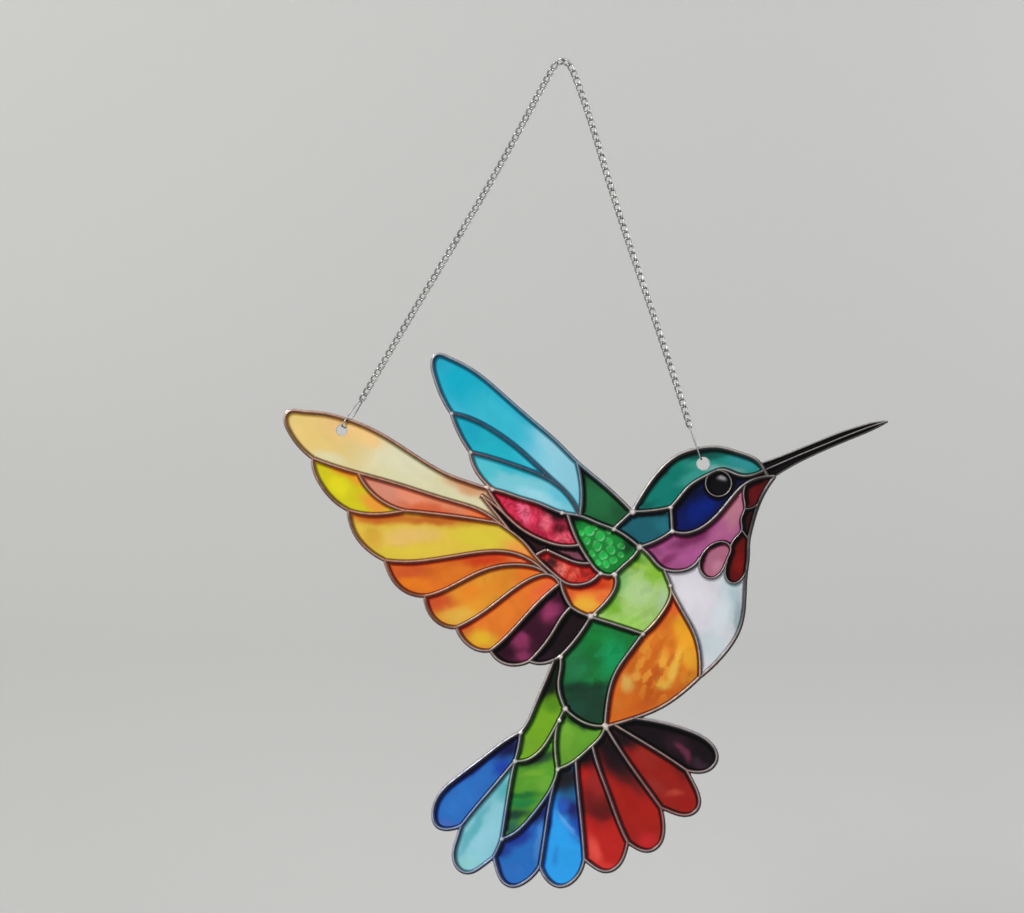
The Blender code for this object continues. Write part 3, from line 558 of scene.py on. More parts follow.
def wander(points, far, size):
    """The points, each moved by a smooth noise of this size, so that edges drift as wet colour does."""
    drift = [noise.noise_vector(Vector((x / size, y / size, 0.0))) for x, y in points]
    return points + far * np.array([(v.x, v.y) for v in drift])


def mixed(points, base, daubs, edge=1.7):
    """The linear colour at each point of the drawing. A higher edge makes the daubs' edges crisper."""
    out = np.tile(linear(base), (len(points), 1))
    if daubs:
        for far, size in DRIFTS:
            points = wander(points, far, size)
    for x, y, wide, high, tilt, colour, strength in daubs:
        across = points - (x, y)
        along = (across[:, 0] * math.cos(tilt) + across[:, 1] * math.sin(tilt)) / wide
        over = (across[:, 1] * math.cos(tilt) - across[:, 0] * math.sin(tilt)) / high
        cover = strength * np.exp(-((along ** 2 + over ** 2) ** edge))
        out += (linear(colour) - out) * cover[:, None]
    return out


print("middle grey of a screen, in linear light:", round(float(linear(128)), 3))

# %% [markdown]
# ## The recipes
# Every pane is found by a point inside it, so the recipe list doesn't care in which order the
# triangulation found the panes. The finish says what kind of glass the print imitates, and how far the
# shade of the lead reaches into it: wispy, pale, warm, mottled, hammered or dark.

# %% Wing feathers
PANES = {
    "long_feather": ((400, 465), "pale", (212, 207, 168), [
        daub(312, 432, 62, 34, 30, (219, 190, 116)), daub(345, 426, 30, 15, 20, (222, 184, 122)),
        daub(366, 437, 22, 9, 25, (233, 194, 128)), daub(470, 487, 30, 8, 20, (205, 150, 106)),
        daub(500, 510, 22, 9, 45, (226, 188, 168)), daub(330, 459, 20, 6, 12, (214, 205, 160)),
        daub(405, 462, 30, 14, 25, (216, 211, 178))]),
    "yellow_feather": ((345, 490), "pale", (200, 190, 26), [
        daub(345, 468, 28, 9, 25, (214, 128, 36)), daub(376, 504, 16, 9, 30, (226, 150, 52)),
        daub(360, 478, 10, 8, 45, (222, 150, 40)), daub(338, 486, 12, 9, 50, (216, 206, 28))]),
    "salmon_feather": ((430, 504), "pale", (216, 132, 98), [
        daub(385, 490, 26, 12, 30, (206, 134, 112)), daub(428, 509, 30, 6, 8, (206, 98, 58)),
        daub(482, 518, 18, 6, 12, (228, 116, 62)), daub(410, 496, 16, 6, 20, (226, 140, 108))]),
    "gold_feather": ((430, 535), "pale", (216, 184, 66), [
        daub(378, 518, 34, 7, 2, (192, 100, 30)), daub(440, 520, 52, 6, 4, (186, 98, 34)),
        daub(412, 536, 30, 9, -4, (219, 180, 100)), daub(480, 537, 30, 11, 8, (213, 193, 58)),
        daub(526, 558, 24, 12, 35, (229, 146, 66)), daub(400, 552, 34, 6, 0, (214, 190, 62)),
        daub(372, 536, 12, 10, 40, (204, 160, 56))]),
    "orange_feather_1": ((430, 577), "warm", (214, 108, 30), [
        daub(410, 571, 24, 8, -5, (192, 80, 34)), daub(486, 560, 30, 7, -3, (200, 62, 24)),
        daub(412, 585, 20, 7, 10, (220, 118, 26)), daub(524, 561, 16, 6, 20, (228, 110, 58)),
        daub(455, 574, 16, 8, -20, (222, 118, 34))]),
    "orange_feather_2": ((480, 595), "warm", (217, 144, 42), [
        daub(436, 602, 22, 10, 0, (196, 78, 36)), daub(458, 617, 20, 9, 0, (216, 168, 66)),
        daub(530, 573, 22, 9, -15, (226, 116, 38)), daub(500, 584, 18, 10, -30, (222, 136, 38)),
        daub(470, 592, 14, 8, -20, (224, 130, 36))]),
    "orange_feather_3": ((500, 621), "warm", (223, 116, 38), [
        daub(465, 631, 12, 10, 30, (202, 72, 36)), daub(482, 639, 18, 10, 10, (217, 170, 42)),
        daub(546, 590, 18, 10, -35, (226, 100, 52)), daub(505, 614, 22, 10, -35, (228, 124, 40))]),
    "purple_feather": ((525, 640), "dark", (50, 14, 32), [
        daub(551, 612, 12, 9, -50, (134, 48, 88)), daub(520, 641, 10, 9, 0, (128, 46, 84)),
        daub(524, 656, 10, 6, 0, (118, 42, 78)), daub(503, 650, 9, 8, 0, (40, 10, 26))]),
    "black_feather": ((562, 635), "dark", (24, 14, 17), [daub(545, 655, 10, 6, 0, (36, 18, 30))]),
    "blue_long": ((480, 390), "pale", (70, 180, 206), [
        daub(466, 384, 44, 26, 35, (10, 166, 192)), daub(500, 420, 40, 18, 40, (52, 178, 200)),
        daub(560, 478, 40, 26, 50, (136, 198, 216)), daub(556, 446, 30, 12, 42, (142, 199, 215)),
        daub(440, 363, 14, 10, 20, (34, 162, 190)), daub(512, 405, 36, 7, 40, (40, 170, 196))]),
    "blue_middle": ((490, 445), "pale", (30, 170, 189), [
        daub(545, 470, 30, 9, 30, (64, 182, 206)), daub(470, 430, 14, 10, 30, (24, 160, 186))]),
    "blue_low": ((520, 485), "pale", (116, 192, 206), [
        daub(512, 467, 48, 7, 12, (52, 178, 194)), daub(486, 470, 12, 12, 40, (78, 184, 198)),
        daub(540, 497, 26, 7, 16, (146, 206, 220)), daub(560, 496, 16, 8, 30, (96, 186, 206))]),
}
print("wing panes:", len(PANES))

# %% Shoulder, head and body
PANES |= {
    "green_shoulder": ((600, 505), "wispy", (28, 88, 50), [
        daub(600, 497, 18, 18, 40, (34, 104, 60)), daub(583, 470, 10, 14, 30, (22, 72, 42)),
        daub(622, 515, 12, 8, 40, (26, 78, 46))]),
    "crimson": ((530, 515), "mottled", (208, 46, 76), [
        daub(506, 502, 14, 7, 35, (200, 40, 72)), daub(524, 512, 6, 13, -20, (234, 96, 128)),
        daub(557, 513, 17, 11, 25, (46, 12, 18)), daub(575, 530, 8, 13, 0, (96, 24, 34)),
        daub(560, 529, 9, 6, 0, (112, 22, 36)), daub(545, 523, 5, 9, 10, (236, 98, 118)),
        daub(564, 539, 12, 5, 10, (222, 82, 102)), daub(541, 533, 12, 5, 30, (180, 30, 62))]),
    "maroon": ((560, 552), "dark", (42, 17, 22), [daub(575, 556, 16, 3, 24, (112, 62, 76))]),
    "red_cell": ((570, 570), "mottled", (216, 54, 42), [
        daub(551, 563, 9, 8, 30, (70, 28, 30)), daub(560, 571, 5, 10, 40, (228, 110, 98)),
        daub(574, 574, 4, 10, 40, (226, 88, 72)), daub(590, 571, 7, 8, 0, (196, 42, 34))]),
    "orange_drop": ((590, 600), "wispy", (229, 128, 48), [
        daub(592, 585, 28, 8, -6, (196, 52, 24)), daub(584, 606, 16, 8, 0, (231, 172, 54)),
        daub(604, 596, 8, 8, 0, (226, 110, 50)), daub(571, 594, 6, 8, 0, (208, 92, 40))]),
    "hammered_green": ((602, 544), "hammered", (28, 152, 58), [
        daub(612, 525, 40, 6, 30, (14, 48, 28)), daub(630, 546, 7, 10, 40, (20, 76, 42)),
        daub(573, 517, 8, 7, 0, (14, 30, 20)), daub(584, 534, 8, 8, 40, (34, 172, 70)),
        daub(601, 561, 11, 8, 0, (40, 184, 78)), daub(608, 540, 12, 9, 30, (34, 160, 66))]),
    "leaf": ((637, 594), "wispy", (162, 200, 112), [
        daub(636, 560, 14, 8, 20, (92, 152, 34)), daub(656, 573, 15, 13, 30, (136, 188, 58)),
        daub(622, 582, 8, 14, 20, (126, 182, 104)), daub(613, 608, 9, 13, 20, (120, 176, 50)),
        daub(641, 592, 14, 13, 20, (174, 207, 142)), daub(628, 622, 18, 6, 12, (152, 200, 88)),
        daub(664, 602, 8, 12, 10, (172, 202, 152)), daub(640, 566, 16, 2.5, 24, (150, 196, 70))]),
    "rump": ((595, 670), "wispy", (24, 112, 52), [
        daub(600, 640, 24, 9, 5, (20, 122, 52)), daub(613, 657, 12, 17, 15, (18, 150, 88)),
        daub(576, 668, 12, 16, 0, (34, 112, 68)), daub(566, 690, 6, 10, 0, (30, 92, 56)),
        daub(592, 712, 40, 27, 0, (24, 60, 40)), daub(586, 688, 26, 6, -3, (16, 44, 30)),
        daub(590, 704, 32, 18, 0, (27, 58, 42)), daub(578, 708, 10, 8, 0, (26, 68, 52))]),
    "belly": ((655, 667), "wispy", (206, 104, 28), [
        daub(686, 634, 13, 36, -10, (232, 160, 36)), daub(673, 606, 7, 12, 0, (228, 100, 40)),
        daub(651, 640, 7, 13, 22, (216, 116, 34)), daub(663, 660, 6, 11, 28, (224, 148, 50)),
        daub(673, 671, 5, 13, 24, (220, 176, 74)), daub(663, 684, 7, 6, 20, (218, 168, 66)),
        daub(680, 656, 4, 9, 20, (234, 178, 60)), daub(691, 660, 5, 13, -6, (220, 156, 42)),
        daub(628, 684, 7, 9, -14, (218, 170, 84)), daub(637, 676, 4, 6, 24, (222, 152, 62)),
        daub(617, 706, 6, 8, 10, (202, 110, 36)), daub(690, 679, 11, 6, -35, (196, 116, 32)),
        daub(645, 704, 24, 7, -25, (198, 94, 26)), daub(622, 662, 8, 8, -30, (198, 94, 34)),
        daub(648, 690, 5, 12, 14, (190, 86, 22)), daub(655, 672, 4, 10, 24, (196, 92, 26))]),
    "breast": ((720, 606), "pale", (209, 207, 213), [
        daub(731, 592, 12, 34, 4, (172, 192, 197)), daub(694, 600, 18, 26, -10, (216, 212, 219)),
        daub(712, 646, 16, 18, -20, (194, 206, 211)), daub(722, 612, 8, 26, 10, (206, 214, 220)),
        daub(738, 618, 5, 22, 4, (150, 166, 172))]),
    "crown": ((660, 488), "wispy", (8, 118, 104), [
        daub(664, 470, 22, 5, -50, (8, 56, 48)), daub(706, 466, 20, 9, 10, (48, 142, 126)),
        daub(745, 462, 22, 10, 15, (44, 140, 142)),
        daub(722, 470, 22, 5, 8, (112, 160, 158)), daub(692, 478, 16, 6, -25, (52, 146, 134)),
        daub(700, 455, 34, 4, -4, (10, 78, 70)), daub(646, 506, 12, 4, -20, (12, 92, 84))]),
    "neck": ((646, 526), "wispy", (27, 92, 104), [
        daub(655, 514, 24, 4, -2, (12, 52, 58)), daub(662, 525, 8, 7, 0, (32, 106, 118)),
        daub(636, 536, 9, 5, 30, (24, 90, 103))]),
    "cheek": ((690, 515), "dark", (8, 12, 44), [
        daub(700, 511, 23, 12, -38, (5, 27, 102)), daub(680, 520, 8, 10, 0, (10, 20, 76)),
        daub(757, 478, 20, 5, 0, (10, 10, 14)), daub(736, 488, 10, 6, -40, (10, 14, 44)),
        daub(704, 482, 10, 5, -30, (8, 14, 52))]),
    "throat": ((680, 550), "wispy", (158, 78, 128), [
        daub(693, 538, 26, 6, -20, (116, 40, 86)), daub(668, 560, 14, 4, -38, (128, 48, 96)),
        daub(734, 508, 11, 26, 14, (182, 116, 134)), daub(690, 556, 16, 8, -20, (166, 82, 138)),
        daub(718, 532, 12, 8, -35, (172, 92, 138)), daub(655, 549, 12, 4, 30, (140, 66, 112))]),
    "oval": ((715, 559), "wispy", (168, 100, 124), [
        daub(703, 558, 4, 14, 6, (92, 36, 66)), daub(716, 545, 10, 3, -10, (96, 40, 70)),
        daub(718, 566, 7, 7, 0, (186, 122, 146))]),
    "eye": ((719, 484), "dark", (9, 8, 12), [
        # The eye's catch-light, a painted highlight that is part of the print.
        daub(720.6, 479.4, 3.9, 2.9, 10, (150, 148, 152)),
        daub(720.8, 479.8, 1.7, 1.2, 10, (118, 117, 122))]),
    "drop": ((738, 559), "dark", (84, 12, 9), [daub(738, 562, 6, 12, 10, (108, 16, 11))]),
    "gorget_upper": ((756, 492), "dark", (74, 10, 14), [daub(757, 492, 8, 7, -40, (92, 15, 17))]),
    "gorget_lower": ((748, 521), "dark", (42, 8, 12), []),
    "beak_upper": ((800, 451.8), "dark", (13, 11, 13), []),
    "beak_lower": ((800, 458.2), "dark", (13, 11, 13), []),
}
print("with shoulder, head and body:", len(PANES))

# %% Tail
PANES |= {
    "tail_slip": ((543, 712), "wispy", (114, 166, 32), [
        daub(549, 672, 24, 29, 0, (10, 20, 12)), daub(544, 688, 20, 12, 0, (12, 26, 12)),
        daub(528, 745, 12, 8, 0, (112, 160, 40)), daub(553, 705, 9, 8, 0, (84, 138, 26))]),
    "tail_lime": ((575, 739), "wispy", (97, 157, 44), [
        daub(582, 722, 26, 6, 12, (26, 62, 32)), daub(564, 755, 8, 9, 0, (104, 158, 46)),
        daub(566, 738, 8, 14, 0, (112, 168, 50))]),
    "tail_base": ((531, 785), "wispy", (88, 156, 44), [
        daub(540, 758, 22, 7, -20, (34, 66, 40)), daub(533, 774, 12, 3, -8, (112, 168, 46)),
        daub(545, 783, 8, 8, 0, (106, 166, 54)), daub(520, 795, 22, 4, -3, (28, 112, 46)),
        daub(520, 803, 20, 6, -4, (32, 128, 62)), daub(512, 815, 20, 6, -4, (24, 66, 48)),
        daub(510, 829, 12, 9, -30, (40, 98, 80))]),
    "tail_blue_1": ((477, 783), "wispy", (42, 108, 188), [
        daub(508, 747, 17, 13, -35, (22, 20, 62)), daub(482, 761, 42, 6, -38, (26, 34, 124)),
        daub(502, 767, 10, 8, -40, (32, 66, 168)), daub(460, 800, 20, 11, -45, (46, 116, 198)),
        daub(447, 823, 10, 4, 0, (66, 108, 190))]),
    "tail_teal": ((485, 824), "pale", (138, 200, 213), [
        daub(506, 789, 13, 9, -50, (88, 174, 182)), daub(474, 828, 34, 5, -58, (94, 176, 188)),
        daub(487, 838, 14, 10, -50, (146, 204, 220)), daub(466, 863, 9, 7, 0, (140, 205, 206))]),
    "tail_blue_2": ((530, 845), "wispy", (34, 110, 192), [
        daub(541, 812, 15, 12, -40, (24, 32, 100)), daub(518, 838, 18, 8, -35, (28, 54, 150)),
        daub(504, 849, 8, 8, 0, (28, 62, 150)), daub(539, 842, 4.5, 20, 10, (68, 132, 202)),
        daub(514, 869, 14, 8, 0, (42, 110, 192))]),
    "tail_blue_3": ((564, 829), "wispy", (40, 158, 234), [
        daub(578, 826, 9, 18, -20, (30, 72, 168)), daub(572, 808, 15, 12, 35, (32, 36, 104)),
        daub(562, 807, 6, 10, 10, (40, 88, 188)), daub(566, 778, 26, 20, 0, (28, 24, 28)),
        daub(566, 824, 16, 1.8, 50, (96, 160, 226), 0.75), daub(556, 856, 3.5, 10, 10, (36, 136, 212)),
        daub(548, 826, 4, 12, 10, (34, 110, 190))]),
    "tail_red_1": ((598, 815), "wispy", (188, 32, 26), [
        daub(600, 803, 26, 21, 0, (112, 24, 22)), daub(596, 782, 9, 16, -10, (156, 38, 34)),
        daub(603, 812, 18, 8, 0, (100, 19, 20)), daub(588, 754, 26, 15, 0, (18, 8, 12)),
        daub(595, 851, 6, 15, -18, (224, 76, 66)), daub(606, 867, 10, 6, 0, (210, 48, 42))]),
    "tail_red_2": ((628, 795), "wispy", (166, 28, 20), [
        daub(629, 775, 26, 15, 40, (92, 22, 22)), daub(618, 762, 18, 12, 45, (56, 20, 24)),
        daub(607, 746, 30, 18, 45, (20, 10, 16)), daub(648, 841, 10, 8, 0, (196, 36, 40)),
        daub(630, 800, 8, 14, -25, (160, 26, 18))]),
    "tail_red_3": ((656, 772), "wispy", (148, 28, 20), [
        daub(622, 737, 22, 11, 35, (26, 12, 18)), daub(648, 758, 14, 11, 35, (152, 38, 28)),
        daub(684, 768, 10, 14, -30, (112, 22, 16)), daub(674, 793, 9, 3.5, -10, (176, 60, 46)),
        daub(656, 786, 13, 6, 45, (146, 40, 34)), daub(686, 803, 9, 7, 0, (152, 22, 18))]),
    "tail_purple": ((672, 743), "dark", (20, 12, 16), [
        daub(677, 744, 14, 9, 30, (40, 20, 30)), daub(683, 752, 3.4, 12, -38, (90, 36, 58)),
        daub(700, 763, 8, 5, 30, (46, 30, 42))]),
}
print("all panes:", len(PANES))

# %% [markdown]
# ## Meshing a pane
# A pane is a closed slab through the sheet. Its front gets points about every half millimetre, because
# the colours and the small waves of the surface live on the points, while the back needs fewer. Two
# things are stored with the mesh for the material to read: the paint, and how far each point is from the
# nearest lead line, shortened on the side of the light so that the painted shadow of the lead reaches
# farther in there.

# %% Distances on the drawing
LIGHT_FROM = np.array([-0.6, -0.8])   # up and to the left on the drawing
TREE_STEP = 0.05 * MM / UNIT          # how close the points lie that distances are measured to
KEPT_GAP = 0.93                       # the share of an inset that each of its points has to keep


def within(points, loop):
    """Which of the points lie inside the closed loop."""
    x, y = points[:, 0], points[:, 1]
    inside = np.zeros(len(points), bool)
    for (x1, y1), (x2, y2) in zip(loop, np.roll(loop, -1, axis=0)):
        if y1 != y2:
            inside ^= ((y1 > y) != (y2 > y)) & (x < (x2 - x1) * (y - y1) / (y2 - y1) + x1)
    return inside


def search_tree(points):
    """A search tree of points of the drawing, which finds the nearest one quickly."""
    tree = KDTree(len(points))
    for i, (x, y) in enumerate(points):
        tree.insert((x, y, 0), i)
    tree.balance()
    return tree


def tree_of(loops):
    """A search tree of points along the closed loops, to measure distances to them."""
    return search_tree(np.vstack([even(np.asarray(loop), TREE_STEP, 0) for loop in loops]))


def distances(points, tree):
    """How far each point is from the nearest one of the tree, in drawing units."""
    return np.array([tree.find((x, y, 0))[2] for x, y in points])


def inset(loop, far):
    """The closed loop moved inward by this distance, without the points that land too near to it."""
    step = np.roll(loop, -1, axis=0) - np.roll(loop, 1, axis=0)
    normal = np.column_stack([-step[:, 1], step[:, 0]]) / np.hypot(step[:, 0], step[:, 1])[:, None]
    moved = loop + normal * far * math.copysign(1, area(loop))
    clear_of = distances(moved, tree_of([loop])) > KEPT_GAP * far
    return even(moved[clear_of], FINE_STEP, SHORTEST_STEP)


def facing_light(points, tree):
    """From -1 to 1: whether the nearest edge lies on the side that the light comes from."""
    edges = np.array([tree.find((x, y, 0))[0][:2] for x, y in points])
    away = edges - points
    return away @ LIGHT_FROM / np.maximum(1e-6, np.hypot(away[:, 0], away[:, 1]))


lengths = np.hypot(*(np.roll(outline, -1, axis=0) - outline).T)
print("the laser's cut round the bird:", round(lengths.sum() * UNIT / MM), "mm")

# %% Points and triangles of a pane
FRONT_STEP = 0.55 * MM / UNIT
BACK_STEP = 1.1 * MM / UNIT
NO_POINTS = np.empty((0, 2))     # for a face that needs none inside its loops
FINE_SNAP = 1e-5                 # smaller than SNAP, so that no point of a piece is lost


def honeycomb(loops, step):
    """Points on a triangular grid inside the first loop and outside the others."""
    low, high = loops[0].min(axis=0), loops[0].max(axis=0)
    rows = np.arange(low[1], high[1], step * math.sqrt(3) / 2)
    places = np.arange(low[0], high[0], step)
    points = np.array([(x + (i % 2) * step / 2, y) for i, y in enumerate(rows) for x in places])
    return points[inside_all(points, loops)]


def inside_all(points, loops):
    """Which points lie inside the first loop and outside the others."""
    keep = within(points, loops[0])
    for hole in loops[1:]:
        keep &= ~within(points, hole)
    return keep


def fill(loops, extra):
    """All points, with the loops' own first, and the triangles between them."""
    # Blender's vectors keep about seven digits, so the loops are rounded alike before the tests below.
    loops = [np.asarray(loop, np.float32).astype(float) for loop in loops]
    flat = np.vstack(loops + [extra])
    edges, start = [], 0
    for loop in loops:
        edges += [(start + i, start + (i + 1) % len(loop)) for i in range(len(loop))]
        start += len(loop)
    found = delaunay_2d_cdt([Vector(p) for p in flat], edges, [], 0, FINE_SNAP)
    verts, _, tris, came_from, _, _ = found
    name = [ids[0] for ids in came_from]
    where = np.array([tuple(v) for v in verts])
    middles = where[np.array([list(t) for t in tris])].mean(axis=1)
    keep = inside_all(middles, loops)
    return flat, [[name[i] for i in tri] for tri, k in zip(tris, keep) if k]


print("triangles in the back of one pane:", len(fill(panes[:1], honeycomb(panes[:1], BACK_STEP))[1]))

# %% Slabs
SHARP = math.radians(50)         # edges that turn more than this stay crisp


def linked(name, data):
    """A new object with this mesh, lamp or camera, placed in the scene."""
    thing = bpy.data.objects.new(name, data)
    bpy.context.collection.objects.link(thing)
    return thing


def slab(name, loops, front_points, front_depth, back_points, back_depth):
    """A closed piece between a front and a back. Returns the object and its points on the drawing."""
    front_flat, front_faces = fill(loops, front_points)
    back_flat, back_faces = fill(loops, back_points)
    shift = len(front_flat)
    vertices = [spot(x, y, d) for (x, y), d in zip(front_flat, front_depth(front_flat))]
    vertices += [spot(x, y, d) for (x, y), d in zip(back_flat, back_depth(back_flat))]
    faces = [tuple(f) for f in front_faces] + [tuple(i + shift for i in f) for f in back_faces]
    start = 0
    for loop in loops:
        for i in range(len(loop)):
            a, b = start + i, start + (i + 1) % len(loop)
            faces.append((a, b, b + shift, a + shift))
        start += len(loop)
    mesh = bpy.data.meshes.new(name)
    mesh.from_pydata(vertices, [], faces)
    bm = bmesh.new()
    bm.from_mesh(mesh)
    bmesh.ops.delete(bm, geom=[v for v in bm.verts if not v.link_faces], context="VERTS")
    bmesh.ops.recalc_face_normals(bm, faces=bm.faces)
    if bm.calc_volume(signed=True) < 0:
        bmesh.ops.reverse_faces(bm, faces=bm.faces)
    bm.to_mesh(mesh)
    bm.free()
    mesh.shade_smooth()
    mesh.set_sharp_from_angle(angle=SHARP)
    return linked(name, mesh), drawn(mesh)


def drawn(mesh):
    """Where the mesh's points lie on the drawing."""
    co = np.empty(len(mesh.vertices) * 3)
    mesh.vertices.foreach_get("co", co)
    co = co.reshape(-1, 3)
    return np.column_stack([co[:, 0] / UNIT + HANG_POINT[0], HANG_POINT[1] - co[:, 2] / UNIT])


print("points every", round(FRONT_STEP * UNIT / MM, 2), "mm in front and", round(BACK_STEP * UNIT / MM, 2),
      "mm behind")

# %% What a piece carries


def store_colour(mesh, name, colours):
    """Linear colours on the mesh's points, under a name that a material can read."""
    layer = mesh.color_attributes.new(name, "FLOAT_COLOR", "POINT")
    layer.data.foreach_set("color", np.column_stack([colours, np.ones(len(colours))]).ravel())


def store_value(mesh, name, values):
    """A number on each of the mesh's points, under such a name."""
    layer = mesh.attributes.new(name, "FLOAT", "POINT")
    layer.data.foreach_set("value", np.asarray(values, float))


def dress(piece, slot_name, *replaced):
    """Every visible piece rides on the row's one body and stands for CAD nodes."""
    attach(piece, "root")
    if replaced:
        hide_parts(*replaced)
    return piece


print("a pane carries its paint and its distance from the lead on its points")

# %% [markdown]
# ## The print's surface effects
# Art glass is never one flat colour. What more than one material needs is built once, as a node group.
# Wisps drift a second tone through a pane and darken it towards the lead: a painted shadow of the raised
# lines, which reaches farther in on the side of the light. Mottling works on top of them and gives the
# churned look of the crimson and red panes. Tarnish dulls lead and steel in spots.

# %% Node helpers
OUTPUT, INPUT = "OUTPUT", "INPUT"


def node_group(name, inputs, outputs):
    """A new shader group with named sockets. Returns the group and its two end nodes."""
    group = bpy.data.node_groups.new(name, "ShaderNodeTree")
    for label, kind, value in inputs:
        socket = group.interface.new_socket(label, in_out=INPUT, socket_type=kind)
        socket.default_value = value
    for label, kind in outputs:
        group.interface.new_socket(label, in_out=OUTPUT, socket_type=kind)
    return group, group.nodes.new("NodeGroupInput"), group.nodes.new("NodeGroupOutput")


def add(tree, kind, values=(), **settings):
    """A node with its settings, and its inputs as (socket, value) or (socket, link from)."""
    node = tree.nodes.new(kind)
    for key, value in settings.items():
        setattr(node, key, value)
    for socket, value in values:
        if isinstance(value, bpy.types.NodeSocket):
            tree.links.new(value, node.inputs[socket])
        else:
            node.inputs[socket].default_value = value
    return node


def mix(tree, factor, a, b, how="MIX"):
    """The output of a colour mix; the node keeps its colour sockets behind its number and vector ones."""
    node = add(tree, "ShaderNodeMix", [(0, factor), (6, a), (7, b)], data_type="RGBA", blend_type=how)
    return node.outputs[2]


def maths(tree, how, *values):
    """The output of a math node; the values are numbers or other nodes' outputs."""
    return add(tree, "ShaderNodeMath", enumerate(values), operation=how).outputs[0]


def scaled(tree, vector, share):
    """A colour or vector times a share."""
    return add(tree, "ShaderNodeVectorMath", [(0, vector), ("Scale", share)], operation="SCALE").outputs[0]


def spread(tree, value, low, high, to_low=0.0, to_high=1.0, **settings):
    """The value with its range from low to high laid out from to_low to to_high."""
    values = [("Value", value), ("From Min", low), ("From Max", high)]
    values += [("To Min", to_low), ("To Max", to_high)]
    return add(tree, "ShaderNodeMapRange", values, **settings).outputs[0]


def cloud(tree, place, scale, detail, **more):
    """A noise texture at this place of the object."""
    values = [("Vector", place), ("Scale", scale), ("Detail", detail), *more.items()]
    return add(tree, "ShaderNodeTexNoise", values)


print("node helpers are ready; groups in the file:", len(bpy.data.node_groups))

# %% Wisps, with a shade towards the lead
DEEPEN = 1.1                     # how far the shade pulls the colour towards its own deeper tone
DARKEN = -0.88                   # and how much of the light it takes away

wisps, given, result = node_group(
    "wisps and painted lead shadow",
    [("Colour", "NodeSocketColor", (1, 1, 1, 1)), ("Scale", "NodeSocketFloat", 60.0),
     ("Strength", "NodeSocketFloat", 0.2), ("Shade", "NodeSocketFloat", 0.6),
     ("Reach", "NodeSocketFloat", 1.5)],
    [("Colour", "NodeSocketColor"), ("Height", "NodeSocketFloat")])
place = add(wisps, "ShaderNodeTexCoord").outputs["Object"]
drift = cloud(wisps, place, 38.0, 2.0).outputs["Color"]
bent = scaled(wisps, drift, 0.05)
moved = add(wisps, "ShaderNodeVectorMath", [(0, place), (1, bent)], operation="ADD").outputs[0]
smoke = cloud(wisps, moved, given.outputs["Scale"], 6.0, Roughness=0.6, Distortion=0.6).outputs["Fac"]
tone = spread(wisps, smoke, 0.3, 0.7, -1.0, 1.0)
gain = maths(wisps, "MULTIPLY_ADD", tone, given.outputs["Strength"], 1.0)
tinted = scaled(wisps, given.outputs["Colour"], gain)
away = add(wisps, "ShaderNodeAttribute", attribute_name="lead_shadow_distance").outputs["Fac"]
near = spread(wisps, away, 0.0, given.outputs["Reach"], 1.0, 0.0, interpolation_type="SMOOTHERSTEP")
shade = maths(wisps, "MULTIPLY", near, given.outputs["Shade"])
power = maths(wisps, "MULTIPLY_ADD", shade, DEEPEN, 1.0)
deeper = add(wisps, "ShaderNodeGamma", [(0, tinted), (1, power)]).outputs[0]
shaded = scaled(wisps, deeper, maths(wisps, "MULTIPLY_ADD", shade, DARKEN, 1.0))
wisps.links.new(shaded, result.inputs["Colour"])
wisps.links.new(smoke, result.inputs["Height"])
print("group:", wisps.name)

# %% Mottling
MOTTLE_DARK = (0.28, 0.22, 0.25, 1)
MOTTLE_LIGHT = (1.25, 1.5, 1.45, 1)

mottle, given, result = node_group(
    "mottled glass",
    [("Colour", "NodeSocketColor", (1, 1, 1, 1)), ("Scale", "NodeSocketFloat", 250.0),
     ("Strength", "NodeSocketFloat", 0.5)],
    [("Colour", "NodeSocketColor"), ("Height", "NodeSocketFloat")])
place = add(mottle, "ShaderNodeTexCoord").outputs["Object"]
churn = cloud(mottle, place, given.outputs["Scale"], 5.0, Roughness=0.65, Distortion=2.2).outputs["Fac"]
tones = mix(mottle, spread(mottle, churn, 0.36, 0.66), MOTTLE_DARK, MOTTLE_LIGHT)
cover = mix(mottle, given.outputs["Strength"], (1, 1, 1, 1), tones)
mottle.links.new(mix(mottle, 1.0, given.outputs["Colour"], cover, "MULTIPLY"), result.inputs["Colour"])
mottle.links.new(churn, result.inputs["Height"])
print("group:", mottle.name)

# %% Tarnish, for lead and steel
ROUGHENED = 0.18                 # how much rougher the dullest spots are

tarnish, given, result = node_group(
    "tarnish",
    [("Colour", "NodeSocketColor", (0.5, 0.5, 0.5, 1)), ("Dark", "NodeSocketFloat", 0.4),
     ("Scale", "NodeSocketFloat", 300.0), ("Roughness", "NodeSocketFloat", 0.3)],
    [("Colour", "NodeSocketColor"), ("Roughness", "NodeSocketFloat"), ("Height", "NodeSocketFloat")])
place = add(tarnish, "ShaderNodeTexCoord").outputs["Object"]
spots = cloud(tarnish, place, given.outputs["Scale"], 5.0, Roughness=0.6).outputs["Fac"]
dull = spread(tarnish, spots, 0.4, 0.65)
keep = maths(tarnish, "SUBTRACT", 1.0, maths(tarnish, "MULTIPLY", dull, given.outputs["Dark"]))
rough = maths(tarnish, "MULTIPLY_ADD", dull, ROUGHENED, given.outputs["Roughness"])
tarnish.links.new(scaled(tarnish, given.outputs["Colour"], keep), result.inputs["Colour"])
tarnish.links.new(rough, result.inputs["Roughness"])
tarnish.links.new(spots, result.inputs["Height"])
print("group:", tarnish.name)

# %% [markdown]
# ## The materials
# All the printed panes share one base: a glossy, partly see-through plastic whose colour comes from the
# painted points. What differs is the group that works on that colour and how lively the surface is.

# %% Material helpers
SEE_THROUGH = 0.22               # the share of light that passes the print of a pane


